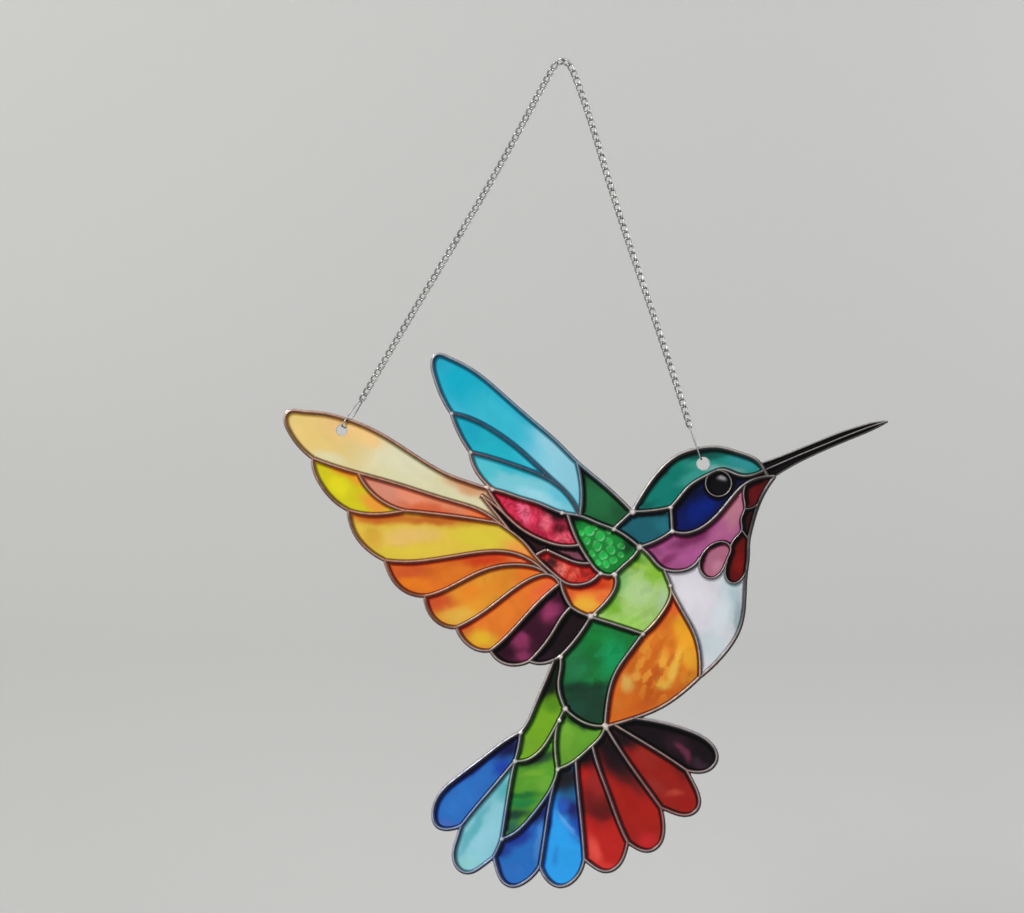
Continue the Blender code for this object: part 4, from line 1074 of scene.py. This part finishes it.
def material(name, roughness=None, **plain):
    """A new material and its Principled shader; plain values are set on the shader's own sockets."""
    made = bpy.data.materials.new(name)
    made.use_nodes = True
    shader = made.node_tree.nodes["Principled BSDF"]
    if roughness is not None:
        shader.inputs["Roughness"].default_value = roughness
    for label, value in plain.items():
        shader.inputs[label.replace("_", " ")].default_value = value
    return made, made.node_tree, shader


def use_group(tree, shader, group, values, bump, bump_mm=0.05):
    """Places a group in a material and feeds its colour and its height to the shader."""
    node = add(tree, "ShaderNodeGroup", values, node_tree=group)
    tree.links.new(node.outputs["Colour"], shader.inputs["Base Color"])
    if "Roughness" in node.outputs:
        tree.links.new(node.outputs["Roughness"], shader.inputs["Roughness"])
    relief = add(tree, "ShaderNodeBump", [("Height", node.outputs["Height"]), ("Strength", bump),
                                          ("Distance", bump_mm * MM)])
    tree.links.new(relief.outputs[0], shader.inputs["Normal"])


def paint(tree):
    """The colour that the mesh's points carry."""
    return add(tree, "ShaderNodeAttribute", attribute_name="paint").outputs["Color"]


def print_finish(name, roughness, through=SEE_THROUGH):
    """A glossy print on acrylic that lets this share of the light through."""
    return material(name, roughness, IOR=1.49, Transmission_Weight=through, Specular_IOR_Level=0.18,
                    Coat_Weight=0.08, Coat_Roughness=0.05)


def wisps_of(tree, scale, strength, shade, reach):
    """What the wisps group is given in one print: the paint, its streaks and its shade."""
    return [("Colour", paint(tree)), ("Scale", scale), ("Strength", strength), ("Shade", shade),
            ("Reach", reach)]


print("light through a pane:", SEE_THROUGH)

# %% Prints of the panes
# Name, roughness and share of light, then the wisps' scale and strength and the shade's depth and reach.
PRINTS = {
    "wispy": ("wispy print", 0.14, SEE_THROUGH, 55.0, 0.12, 0.94, 1.3),
    "pale": ("pale wispy print", 0.14, SEE_THROUGH, 50.0, 0.06, 0.60, 1.0),
    "warm": ("warm print", 0.14, SEE_THROUGH, 55.0, 0.12, 0.80, 1.0),
    "hammered": ("hammered print", 0.10, SEE_THROUGH, 120.0, 0.12, 0.92, 1.3),
    "dark": ("dark print", 0.16, 0.05, 80.0, 0.18, 0.90, 1.5),
}
FINISHES = {}
for finish, (name, roughness, through, *streaks) in PRINTS.items():
    FINISHES[finish], tree, shader = print_finish(name, roughness, through)
    use_group(tree, shader, wisps, wisps_of(tree, *streaks), bump=0.2)
FINISHES["mottled"], tree, shader = print_finish("mottled print", 0.15)
streaked = add(tree, "ShaderNodeGroup", wisps_of(tree, 90.0, 0.1, 0.92, 1.3), node_tree=wisps)
use_group(tree, shader, mottle, [("Colour", streaked.outputs["Colour"]), ("Scale", 210.0),
                                 ("Strength", 0.75)], bump=0.4, bump_mm=0.12)
print("prints:", sorted(FINISHES))

# %% Lead, clear acrylic and steel
lead, tree, shader = material("lead line print", Metallic=0.2, IOR=1.5, Specular_IOR_Level=0.4,
                              Coat_Weight=0.12, Coat_Roughness=0.12)
use_group(tree, shader, tarnish, [("Colour", paint(tree)), ("Dark", 0.35), ("Scale", 420.0),
                                  ("Roughness", 0.28)], bump=0.25, bump_mm=0.06)
clear, tree, shader = material("clear acrylic", 0.1, IOR=1.49, Transmission_Weight=0.92,
                               Specular_IOR_Level=0.3)
use_group(tree, shader, wisps, [("Colour", (0.80, 0.82, 0.82, 1)), ("Scale", 40.0), ("Strength", 0.02),
                                ("Shade", 0.0)], bump=0.05)
chain_steel, tree, shader = material("chain steel", Metallic=1.0)
use_group(tree, shader, tarnish, [("Colour", (0.42, 0.417, 0.405, 1)), ("Dark", 0.5), ("Scale", 600.0),
                                  ("Roughness", 0.38)], bump=0.2)
loop_steel, tree, shader = material("loop steel", Metallic=1.0)
use_group(tree, shader, tarnish, [("Colour", (0.38, 0.372, 0.365, 1)), ("Dark", 0.35), ("Scale", 500.0),
                                  ("Roughness", 0.34)], bump=0.15)
print("materials:", [m.name for m in bpy.data.materials])

# %% [markdown]
# ## Hammered glass
# One pane copies hammered glass: close round dimples with a bright floor. The dimples are real relief on
# the mesh, each a shallow round hollow. The same function lightens the paint inside them, and a second
# one paints the glint on the walls that catch the light.

# %% Dimples of the hammered pane
DIMPLES = [(589, 531, 5.4), (600, 536, 5.2), (597, 546, 5.0), (609, 541, 3.6), (611, 549, 5.0),
           (603, 555, 4.6), (613, 560, 3.8), (606, 564, 4.2), (621, 546, 3.4), (587, 541, 3.6),
           (595, 527, 3.2), (592, 553, 3.4), (598, 562, 3.2), (621, 555, 3.0), (609, 531, 3.0),
           (582, 533, 2.8)]
DIMPLE_DEPTH = 0.22 * MM
DIMPLE_FLOOR = 0.55              # the flat middle of a dimple, as a share of its radius
# The colour of the painted glints on the dimples' walls.
GLINT = (176, 232, 190)
GLINT_AT = 0.82                  # where on the radius the wall of a dimple catches the light
GLINT_WIDTH = 0.13
NEAR_GLINT = 0.6                 # the near wall's glint beside the far wall's


def dimples(points):
    """How deep each point lies in a dimple, from 0 at the rim to 1 on the floor."""
    out = np.zeros(len(points))
    for x, y, r in DIMPLES:
        reach = np.hypot(points[:, 0] - x, points[:, 1] - y) / r
        out = np.maximum(out, 1 - np.clip((reach - DIMPLE_FLOOR) / (1 - DIMPLE_FLOOR), 0, 1) ** 2)
    return out


def glints(points):
    """The light caught by each dimple's far wall and, more weakly, by its near one, from 0 to 1."""
    out = np.zeros(len(points))
    for x, y, r in DIMPLES:
        away = points - (x, y)
        reach = np.hypot(away[:, 0], away[:, 1])
        side = away @ LIGHT_FROM / np.maximum(1e-6, reach)
        wall = np.exp(-((reach / r - GLINT_AT) / GLINT_WIDTH) ** 2)
        lit = np.clip(-side, 0, 1) ** 2 + NEAR_GLINT * np.clip(side, 0, 1) ** 3
        out = np.maximum(out, wall * lit)
    return out


print("dimples:", len(DIMPLES))

# %% [markdown]
# ## Brush facets, ripple and the shade's reach
# Three panes of the print show slanted angular patches where strokes of a flat brush overlap. All panes
# have slow waves, so that their gloss isn't that of a mirror. The shade reaches farther in on the side
# that the light comes from, because there the lead would throw its shadow.

# %% Facets and ripple
# Where the patches lie (x, y, half width, half height), their own size and tilt, their colour and strength.
FACETS = {
    "belly": (660, 668, 36, 34, 12.0, 6.0, -62, (232, 172, 60), 0.5),
    "leaf": (638, 594, 28, 34, 17.0, 8.0, -35, (186, 212, 152), 0.45),
    "rump": (600, 655, 26, 30, 14.0, 8.0, -20, (24, 148, 84), 0.5),
}
FACET_DARK = 0.35                # how much light the darker patches lose
RIPPLE = 0.012 * MM


def facets(points, long, short, tilt):
    """One tone from -1 to 1 in each slanted angular patch, as where strokes of a flat brush overlap."""
    along = (points[:, 0] * math.cos(tilt) + points[:, 1] * math.sin(tilt)) / long
    over = (points[:, 1] * math.cos(tilt) - points[:, 0] * math.sin(tilt)) / short
    nearest = [noise.voronoi(Vector((a, b, 0.5)))[1][0] for a, b in zip(along, over)]
    return np.array([noise.cell(point * 13.0) for point in nearest])


def ripple(points):
    """The slow waves of a print that was cured on a flat sheet, in metres."""
    x, y = points[:, 0], points[:, 1]
    along = np.sin(x / 9.0 + 0.6 * np.sin(y / 13.0))
    down = np.sin(y / 7.0 + 0.8 * np.sin(x / 11.0))
    return RIPPLE * (along + down)


print("panes with facets:", list(FACETS))

# %% The paint and the front of a pane
DIMPLE_DRIFT = (1.6, 7.0)        # how far the painted dimples drift from the round, and over what length
DIMPLE_SHADE = 0.62              # the paint between dimples, beside the recipe's
DIMPLE_LIGHT = 0.5               # and what a dimple's floor adds to it
GLINT_STRENGTH = 0.42
DISH = 0.8 * MM                  # the front is flat at the lead and takes its waves over this distance
LIT_REACH = 0.7                  # how much farther the shade reaches on the side of the light


def painted(name, finish, base, daubs, where):
    """The colours of a pane's print at these points of the drawing, with painted glints on the hammered
    pane.
    """
    colours = mixed(where, base, daubs)
    if name in FACETS:
        x, y, wide, high, long, short, tilt, colour, strength = FACETS[name]
        here = np.exp(-(((where[:, 0] - x) / wide) ** 2 + ((where[:, 1] - y) / high) ** 2) ** 2)
        tone = facets(where, long, short, math.radians(tilt)) * here * strength
        colours *= 1 + FACET_DARK * np.minimum(tone, 0)[:, None]
        colours += (linear(colour) - colours) * np.maximum(tone, 0)[:, None]
    if finish == "hammered":
        uneven = wander(where, *DIMPLE_DRIFT)
        colours *= (DIMPLE_SHADE + DIMPLE_LIGHT * dimples(uneven))[:, None]
        colours += (linear(GLINT) - colours) * GLINT_STRENGTH * glints(uneven)[:, None]
    return colours


def pane_front(points, tree, finish):
    """Depth of a pane's front: flat at the lead, and a little rippled or dimpled inside."""
    inner = np.clip(distances(points, tree) * UNIT / DISH, 0, 1)
    depth = SHEET_FRONT + inner * ripple(points)
    return depth + inner * DIMPLE_DEPTH * dimples(points) if finish == "hammered" else depth


def flat_back(points):
    """Depth of the sheet's back."""
    return np.full(len(points), SHEET_BACK)


print("waves on a pane:", round(RIPPLE / MM, 3), "mm high")

# %% Panes
PLAIN = (None, "dark", (16, 13, 16), [])   # for an opening between lines that has no recipe
FINER = {"eye": 0.6, "hammered_green": 0.6}
unused = dict(PANES)
edge_paint = []
for number, pane in enumerate(panes):
    found = [name for name, recipe in unused.items() if within(np.array([recipe[0]], float), pane)[0]]
    name = found[0] if found else f"small_{number}"
    _, finish, base, daubs = unused.pop(name, PLAIN)
    holes = [circle(centre, radius + HOLE_EDGE)[:-1] for centre, radius in (WING_HOLE, HEAD_HOLE)
             if within(np.array([centre]), pane)[0]]
    loops = [pane] + holes
    tree = tree_of(loops)
    front_points = honeycomb(loops, FRONT_STEP * FINER.get(name, 1.0))
    back_points = honeycomb(loops, BACK_STEP)
    piece, where = slab(f"pane_{name}", loops, front_points,
                        lambda points: pane_front(points, tree, finish), back_points, flat_back)
    store_colour(piece.data, "paint", painted(name, finish, base, daubs, where))
    edge_paint.append(mixed(pane, base, daubs))
    # The distance that drives the painted shadow of the lead, shortened where the nearest lead lies towards
    # the light.
    rim = tree_of([pane])
    reach = 1.0 + LIT_REACH * facing_light(where, rim)
    store_value(piece.data, "lead_shadow_distance", distances(where, rim) * UNIT / MM / reach)
    piece.data.materials.append(FINISHES[finish])
    dress(piece, "printed_acrylic", "acrylic_panel")
print("panes without a recipe get plain dark print; recipes that found no pane:", list(unused))
pane_pieces = [o for o in bpy.data.objects if o.name.startswith("pane_")]
print("pane faces:", sum(len(o.data.polygons) for o in pane_pieces))

# %% [markdown]
# ## The lead lines
# All the lines are one piece, as they are one print. Its top is shaped by one rule: the height depends
# only on how far a point is from the edge of the line, like a drop of solder that stays round wherever
# lines meet. Spots where several lines join get an extra dome, as a solderer leaves them. As on the
# print, each line gets a painted highlight: a bright core on the side of the light, with the dark of the
# lead left on the flanks, widest on the side away from the light.

# %% Colours of the lead lines
# The painted highlight along the core of each line, then its tints in different parts of the bird.
CORE_HIGHLIGHT = (178, 168, 165)
CORE_HIGHLIGHT_DAUBS = [daub(400, 520, 150, 115, 35, (210, 156, 130)), daub(350, 430, 90, 40, 25, (196, 148, 120)),
              daub(330, 510, 62, 13, 52, (112, 84, 54)), daub(415, 602, 62, 13, 42, (132, 84, 58)),
              daub(292, 440, 12, 24, -30, (136, 104, 70)), daub(756, 560, 14, 104, 3, (18, 20, 20)),
              daub(510, 425, 105, 44, 42, (104, 150, 176)), daub(660, 690, 60, 16, -35, (250, 198, 162)),
              daub(662, 610, 12, 26, 35, (250, 206, 164)), daub(640, 800, 66, 60, 0, (172, 112, 106)),
              daub(500, 820, 84, 74, 0, (142, 164, 214)), daub(675, 735, 50, 14, 22, (160, 146, 158)),
              daub(545, 760, 60, 22, -40, (192, 204, 158))]
# The dark flanks of each line, widest on the side away from the light.
FLANK = (18, 12, 13)
FLANK_DAUBS = [daub(400, 520, 155, 118, 35, (98, 38, 20)), daub(350, 430, 95, 45, 25, (98, 56, 38)),
               daub(330, 510, 62, 13, 52, (74, 50, 28)), daub(292, 440, 12, 24, -30, (84, 56, 32)),
               daub(510, 425, 108, 50, 42, (16, 62, 86)), daub(480, 830, 90, 70, 0, (14, 18, 46)),
               daub(645, 800, 66, 60, 0, (32, 8, 10))]
SOLDER_COLOUR = (214, 208, 204)
# Colour of the painted highlight along the cut edges that face the light.
EDGE_COLOUR = (214, 210, 204)
# Lines whose painted highlight is weaker, as a share.
DULL = {"beak, upper": 0.15, "beak, lower": 0.25, "blue 1 to 2": 0.2, "blue 2 to 3": 0.3, "eye": 0.8}
print("lines with a duller core:", list(DULL))

# %% The painted highlight
CORE_STEP = 0.06 * MM / UNIT
CORE_SHIFT = 0.34                # the core lies this share of the half width towards the light
CORE_WIDTH = 0.25                # and this share of the half width is its own half width


def there_and_back(path, step, shortest=0):
    """An open line walked to its end and back, with a point at least at every step."""
    return even(np.vstack([path, path[-2:0:-1]]), step, shortest)


def highlight_share(points):
    """How much of the painted highlight each point shows: 1 on the core of a line, 0 on its flanks."""
    names = [*RIM_LINES, *LEAD_LINES, *FINE_LINES, "eye", "oval"]
    centres, tangents, halves, shine = [], [], [], []
    for name, (path, half) in zip(names, strokes()):
        fine = there_and_back(path, CORE_STEP)
        step = np.roll(fine, -1, axis=0) - fine
        centres.append(fine)
        tangents.append(step / np.maximum(1e-9, np.hypot(step[:, 0], step[:, 1]))[:, None])
        halves.append(np.full(len(fine), half))
        shine.append(np.full(len(fine), DULL.get(name, 1.0)))
    centres, tangents = np.vstack(centres), np.vstack(tangents)
    halves, shine = np.concatenate(halves), np.concatenate(shine)
    tree = search_tree(centres)
    near = np.array([tree.find((x, y, 0))[1] for x, y in points])
    tangent, half = tangents[near], halves[near]
    sideways = LIGHT_FROM - (tangent @ LIGHT_FROM)[:, None] * tangent
    off = points - centres[near] - CORE_SHIFT * half[:, None] * sideways
    return shine[near] * np.exp(-(np.hypot(off[:, 0], off[:, 1]) / (CORE_WIDTH * half)) ** 2)


print("the core of a lead line is", round(2 * CORE_WIDTH * LEAD_HALF * UNIT / MM, 2), "mm wide")

# %% Flanks and lit edges
TINT = 0.26                      # this share of a pane's paint shows in the thin edge of a line
TINT_WIDTH = 0.36 * MM
TINT_HOLD = 1.15                 # above 1, so that the tint holds for a stretch before it fades
EDGE_LIGHT = 0.7                 # how white the edges are that face the light
EDGE_WIDTH = 0.5 * MM / UNIT
EDGE_HOLD = 1.4
EDGE_FALL = 0.7                  # below 1, so that edges which face the light only partly are lit too


def tinted_flank(points, colours):
    """The flanks' colours, with the panes' own paint let through where the print of a line ends."""
    tree = search_tree(np.vstack(panes))
    found = [tree.find((x, y, 0)) for x, y in points]
    pane_paint = np.vstack(edge_paint)[[hit[1] for hit in found]]
    near = np.clip(TINT_HOLD - np.array([hit[2] for hit in found]) * UNIT / TINT_WIDTH, 0, 1)[:, None]
    return colours + (TINT * pane_paint - colours) * near


def edge_share(points):
    """From 0 to 1: how much of the white light along the cut edges that face the light."""
    tree = tree_of([outline])
    near = np.clip(EDGE_HOLD - distances(points, tree) / EDGE_WIDTH, 0, 1)
    return EDGE_LIGHT * near * np.clip(facing_light(points, tree), 0, 1) ** EDGE_FALL


print("the lit edge is", round(EDGE_HOLD * EDGE_WIDTH * UNIT / MM, 2), "mm wide")

# %% Height of the lead
DOME = 0.22 * MM                 # how far a spot of solder stands over the lines
DOME_SPREAD = 1.05               # its foot beside the spot's radius
ROUND_OVER = 0.92 * LEAD_HALF    # a line is round up to this distance from its edge


def lead_height(points, tree):
    """Height of the lead over the panes, in metres: round across a line, domed at the solder."""
    inward = np.clip(distances(points, tree) / ROUND_OVER, 0, 1)
    height = RELIEF * np.sqrt(1 - (1 - inward) ** 2)
    for x, y, r in SOLDER:
        away = np.hypot(points[:, 0] - x, points[:, 1] - y) / (r * DOME_SPREAD)
        height += DOME * np.sqrt(np.clip(1 - away ** 2, 0, 1)) * inward
    return height


printed_outline = inset(outline, CLEAR_EDGE)
lead_tree = tree_of([printed_outline] + panes)
print("highest lead:", round((RELIEF + DOME) / MM, 2), "mm over the panes")

# %% Points of the lead lines
TRACKS = (0.0, 0.22, 0.5, 0.76)  # rows of points along each line, as shares of its half width
SOLDER_RINGS = (0.35, 0.8)       # and rings of points on each solder spot
TRACK_STEP = 0.5 * MM / UNIT
TRACK_SHORTEST = 0.02
TRACK_GRID = 0.14 * MM / UNIT    # one point is kept in each square of this size
TRACK_GAP = 0.1 * MM / UNIT      # and none closer than this to the edge of a line


def track_points():
    """Points along all the lines, thinned out where lines meet."""
    tracks = []
    for path, half in strokes():
        walk = there_and_back(path, TRACK_STEP, TRACK_SHORTEST)
        step = np.roll(walk, -1, axis=0) - np.roll(walk, 1, axis=0)
        length = np.maximum(1e-9, np.hypot(step[:, 0], step[:, 1]))
        normal = np.column_stack([-step[:, 1], step[:, 0]]) / length[:, None]
        tracks += [walk + normal * half * share for share in TRACKS]
    tracks += [circle((x, y), r * share, 10)[:-1] for x, y, r in SOLDER for share in SOLDER_RINGS]
    tracks = np.vstack(tracks)
    _, first = np.unique(np.round(tracks / TRACK_GRID), axis=0, return_index=True)
    tracks = tracks[np.sort(first)]
    tracks = tracks[within(tracks, printed_outline)]
    clear_of = distances(tracks, lead_tree) > TRACK_GAP
    for pane in panes:
        clear_of &= ~within(tracks, pane)
    return tracks[clear_of]


tracks = track_points()
print("points inside the lines:", len(tracks))

# %% Lead lines
LEAD_SHARP = math.radians(75)
SOLDER_CORE = 1.4                # over 1, so that the middle of a spot turns to bright solder
SOLDER_SPREAD = 0.7
lines, where = slab("lead_lines", [printed_outline] + panes, tracks,
                    lambda points: SHEET_FRONT - lead_height(points, lead_tree), NO_POINTS, flat_back)
lines.data.set_sharp_from_angle(angle=LEAD_SHARP)
core = highlight_share(where)
for x, y, r in SOLDER:
    away = np.hypot(where[:, 0] - x, where[:, 1] - y) / (r * SOLDER_SPREAD)
    core = np.maximum(core, SOLDER_CORE * np.exp(-away ** 4))
core = core[:, None]
# A painted highlight on each line's core, on the side of the light, over its dark flanks; solder spots turn
# bright.
highlight_and_solder = mixed(where, CORE_HIGHLIGHT, CORE_HIGHLIGHT_DAUBS)
highlight_and_solder += (linear(SOLDER_COLOUR) - highlight_and_solder) * np.clip((core - 1) / (SOLDER_CORE - 1), 0, 1)
flank = tinted_flank(where, mixed(where, FLANK, FLANK_DAUBS))
colours = flank * (1 - np.clip(core, 0, 1)) + highlight_and_solder * np.clip(core, 0, 1)
# A painted highlight whitens the edges of the lines that face the light.
colours += (linear(EDGE_COLOUR) - colours) * edge_share(where)[:, None]
store_colour(lines.data, "paint", colours)
lines.data.materials.append(lead)
dress(lines, "printed_acrylic", "acrylic_panel")
print("lead line faces:", len(lines.data.polygons))

# %% [markdown]
# ## The clear edge
# The laser cuts a hair outside the print, so a thin border of bare acrylic runs round the bird and round
# both holes. Along the top of the wings it catches the light, together with a painted highlight on the
# lines' edges that face the light. It is a ring of its own here, with a plain see-through shader, and a
# small chamfer where the laser has rounded the edge.

# %% Clear border and hole rings
HAIR = 0.03 * MM / UNIT          # the rings reach this far under the print
CHAMFER = 0.08 * MM
border_inner = inset(outline, CLEAR_EDGE - HAIR)


def ring(name, outer, inner, cut_edge):
    """A ring of bare acrylic through the sheet, chamfered along its cut edge."""
    tree = tree_of([cut_edge])

    def cut(points):
        return CHAMFER * (distances(points, tree) < HAIR)

    piece, _ = slab(name, [outer, inner], NO_POINTS, lambda points: SHEET_FRONT + cut(points),
                    NO_POINTS, lambda points: SHEET_BACK - cut(points))
    piece.data.materials.append(clear)
    return dress(piece, "printed_acrylic", "acrylic_panel")


ring("clear_border", outline, border_inner, outline)
for name, (centre, radius) in (("wing_hole_ring", WING_HOLE), ("head_hole_ring", HEAD_HOLE)):
    hole = circle(centre, radius)[:-1]
    ring(name, circle(centre, radius + HOLE_EDGE - HAIR)[:-1], hole, hole)
print("clear edge:", round(CLEAR_EDGE * UNIT / MM, 2), "mm outside the print")

# %% [markdown]
# ## The chain
# A curb chain is made of oval links that are twisted until they lie flat, so that all of them show their
# opening to the front. One link is a round wire along an oval whose two ends are turned about a quarter
# turn apart.

# %% Wire helper
CHAIN_ROUTE = [(361.0, 400.6), (420.3, 300.0), (467.7, 221.0), (508.6, 149.6), (552.4, 68.6),
               HANG_POINT, (572.8, 70.2), (611.5, 189.0), (651.2, 308.0), (690.3, 427.0)]
WIRE = 0.78 * MM
LINK_WIDTH = 2.75 * MM
LINK_COUNT = 107
LINK_TURN = math.radians(46)     # how far each end of a link is twisted
FULL_END = 0.08                  # how much fuller than an ellipse a link is at its ends
FULL_SIDE = 0.16                 # and along its sides


def tube(points, across, sides, radius):
    """A closed wire through the points; each point has its own direction across the wire."""
    vertices = []
    count = len(points)
    for i, p in enumerate(points):
        along = (points[(i + 1) % count] - points[i - 1]).normalized()
        side = across[i].cross(along).normalized()
        up = along.cross(side)
        angles = [2 * math.pi * j / sides for j in range(sides)]
        vertices += [p + radius * (math.cos(a) * side + math.sin(a) * up) for a in angles]
    faces = []
    for i in range(count):
        n = (i + 1) % count
        for j in range(sides):
            m = (j + 1) % sides
            faces.append((i * sides + j, n * sides + j, n * sides + m, i * sides + m))
    return vertices, faces


def link(start, end, corners=20, sides=8):
    """One twisted oval link from joint to joint."""
    along = (end - start).normalized()
    depth = Vector((0, 1, 0))
    broad = depth.cross(along).normalized()
    reach = (end - start).length / 2 + WIRE / 2
    half = (LINK_WIDTH - WIRE) / 2
    points, across = [], []
    for i in range(corners):
        angle = 2 * math.pi * i / corners
        a = math.cos(angle) * (1 + FULL_END * math.sin(angle) ** 2)
        b = math.sin(angle) * (1 + FULL_SIDE * math.cos(angle) ** 2)
        turn = Matrix.Rotation(max(-1, min(1, a)) * LINK_TURN, 3, along)
        points.append((start + end) / 2 + along * reach * a + turn @ broad * half * b)
        across.append(turn @ depth)
    return tube(points, across, sides, WIRE / 2)


def wire_piece(name, shapes, finish):
    """One smooth piece of wire shapes, each given as its points and faces."""
    vertices, faces = [], []
    for some_vertices, some_faces in shapes:
        faces += [tuple(i + len(vertices) for i in face) for face in some_faces]
        vertices += some_vertices
    mesh = bpy.data.meshes.new(name)
    mesh.from_pydata([tuple(v) for v in vertices], [], faces)
    bm = bmesh.new()
    bm.from_mesh(mesh)
    if bm.calc_volume(signed=True) < 0:
        bmesh.ops.reverse_faces(bm, faces=bm.faces)
    bm.to_mesh(mesh)
    bm.free()
    mesh.shade_smooth()
    mesh.materials.append(finish)
    return linked(name, mesh)


print("links:", LINK_COUNT, " wire:", round(WIRE / MM, 2), "mm")

# %% Curb chain
route = np.array([spot(x, y) for x, y in smooth(CHAIN_ROUTE)])
reach = np.concatenate([[0], np.cumsum(np.linalg.norm(np.diff(route, axis=0), axis=1))])
steps = np.linspace(0, reach[-1], LINK_COUNT + 1)
joints = [Vector([float(np.interp(s, reach, route[:, axis])) for axis in range(3)]) for s in steps]
chain = wire_piece("curb_chain", [link(a, b) for a, b in zip(joints, joints[1:])], chain_steel)
dress(chain, "chain_steel", "chain")
print("chain length:", round(reach[-1] / MM), "mm, pitch:", round(reach[-1] / LINK_COUNT / MM, 2), "mm")

# %% [markdown]
# ## The end loops
# Each end of the chain is tied on with a long loop of wire that goes through the hole and up both faces
# of the sheet. It is drawn in its own plane, up along the chain and across the sheet's thickness.

# %% Wire loops
END_WIRE = 0.6 * MM
CLEARANCE = 0.29 * MM
LOOP_CORNER = 1.0 * MM
MOST_CUT = 0.45                  # the share of a side that one rounded corner may take


def rounded(corners, cut, steps=7):
    """A closed polyline with its corners rounded off, each from this far before it to this far after."""
    out = []
    for i, corner in enumerate(np.array(corners)):
        before, after = np.array(corners[i - 1]), np.array(corners[(i + 1) % len(corners)])
        start = corner + (before - corner) * min(MOST_CUT, cut / np.hypot(*(before - corner)))
        end = corner + (after - corner) * min(MOST_CUT, cut / np.hypot(*(after - corner)))
        for t in np.linspace(0, 1, steps):
            out.append(start * (1 - t) ** 2 + 2 * corner * t * (1 - t) + end * t * t)
    return out


def end_loop(name, centre, hole, joint, turn, node):
    """A wire loop from a drilled hole to the chain's last joint, turned about its own length."""
    centre = Vector(spot(*centre))
    up = (joint - centre).normalized()
    depth = Matrix.Rotation(turn, 3, up) @ Vector((0, 1, 0))
    gap = END_WIRE / 2 + CLEARANCE
    low = centre + up * (hole * UNIT - gap)
    high = joint + up * gap
    length = (high - low).length
    front = (-SHEET_FRONT + RELIEF + gap) / math.cos(turn)
    rear = (SHEET_BACK + gap) / math.cos(turn)
    narrow = LINK_WIDTH / 2
    shape = [(0, -front), (length / 2, -front), (length, -narrow), (length, narrow), (length / 2, rear),
             (0, rear)]
    points = [low + up * float(a) + depth * float(b) for a, b in rounded(shape, LOOP_CORNER)]
    wire = tube(points, [up.cross(depth).normalized()] * len(points), 12, END_WIRE / 2)
    return dress(wire_piece(name, [wire], loop_steel), "loop_steel", node)


end_loop("wing_wire_loop", *WING_HOLE, joints[0], -math.radians(20), "wing_loop")
end_loop("head_wire_loop", *HEAD_HOLE, joints[-1], -math.radians(8), "head_loop")

# %% [markdown]
# ## Backdrop, light and camera
# The bird hangs in front of a plain pale backdrop that runs down into a pale floor. The backdrop is
# one-sided, so that it lets the light and the other views through from behind. The key light is large and
# comes from the upper left, as a window would, and a weaker one behind shines through the panes.

# %% Backdrop
FLOOR = -0.46
WALL = 0.40
SWEEP = 0.2                      # the radius in which the wall runs down into the floor
HALF_WIDTH, TOP, NEAR_EDGE = 2.0, 1.6, -1.6
backdrop = bpy.data.meshes.new("backdrop")
profile = [(NEAR_EDGE, FLOOR)]
for angle in np.linspace(0, math.pi / 2, 12):
    profile.append((WALL - SWEEP + SWEEP * math.sin(angle), FLOOR + SWEEP - SWEEP * math.cos(angle)))
profile.append((WALL, TOP))
points = [(x, y, z) for y, z in profile for x in (-HALF_WIDTH, HALF_WIDTH)]
faces = [(2 * i, 2 * i + 1, 2 * i + 3, 2 * i + 2) for i in range(len(profile) - 1)]
backdrop.from_pydata(points, [], faces)
backdrop.shade_smooth()
paper, tree, shader = material("pale backdrop", 0.9)
shader.inputs["Base Color"].default_value = (0.44, 0.44, 0.43, 1)
behind = add(tree, "ShaderNodeNewGeometry").outputs["Backfacing"]
through = add(tree, "ShaderNodeBsdfTransparent")
either = add(tree, "ShaderNodeMixShader", [(0, behind), (1, shader.outputs[0]), (2, through.outputs[0])])
tree.links.new(either.outputs[0], tree.nodes["Material Output"].inputs["Surface"])
backdrop.materials.append(paper)
linked("backdrop", backdrop)
print("backdrop strips:", len(faces))

# %% Light
world = bpy.data.worlds.new("soft studio")
bpy.context.scene.world = world
world.use_nodes = True
world.node_tree.nodes["Background"].inputs["Color"].default_value = (0.90, 0.93, 1.0, 1)
world.node_tree.nodes["Background"].inputs["Strength"].default_value = 0.30


def area_light(name, place, target, size, watts, colour=(1, 1, 1)):
    """A square lamp that shines from its place towards the target."""
    lamp = bpy.data.lights.new(name, "AREA")
    lamp.size = size
    lamp.energy = watts
    lamp.color = colour
    thing = linked(name, lamp)
    thing.location = place
    thing.rotation_euler = (Vector(target) - Vector(place)).to_track_quat("-Z", "Y").to_euler()


middle = (0.0, 0.0, -0.19)
area_light("key", (-0.75, -0.80, 0.55), middle, 0.45, 20.0, (1.0, 0.985, 0.96))
area_light("fill", (1.1, -1.0, 0.1), middle, 1.0, 8.0, (0.95, 0.97, 1.0))
area_light("behind", (0.75, 0.24, 0.15), middle, 0.3, 3.0)
print("lamps:", len(bpy.data.lights))

# %% Camera
PHOTO_WIDTH, PHOTO_HEIGHT = 1024, 913
CAMERA_AWAY = 1.25
SENSOR = 36.0
camera = linked("camera", bpy.data.cameras.new("camera"))
camera.location = spot(PHOTO_WIDTH / 2, PHOTO_HEIGHT / 2, -CAMERA_AWAY)
camera.rotation_euler = (math.radians(90), 0, 0)
camera.data.sensor_width = SENSOR
camera.data.lens = SENSOR * (CAMERA_AWAY + SHEET_FRONT) / (PHOTO_WIDTH * UNIT)
bpy.context.scene.camera = camera
print("lens:", round(camera.data.lens), "mm")
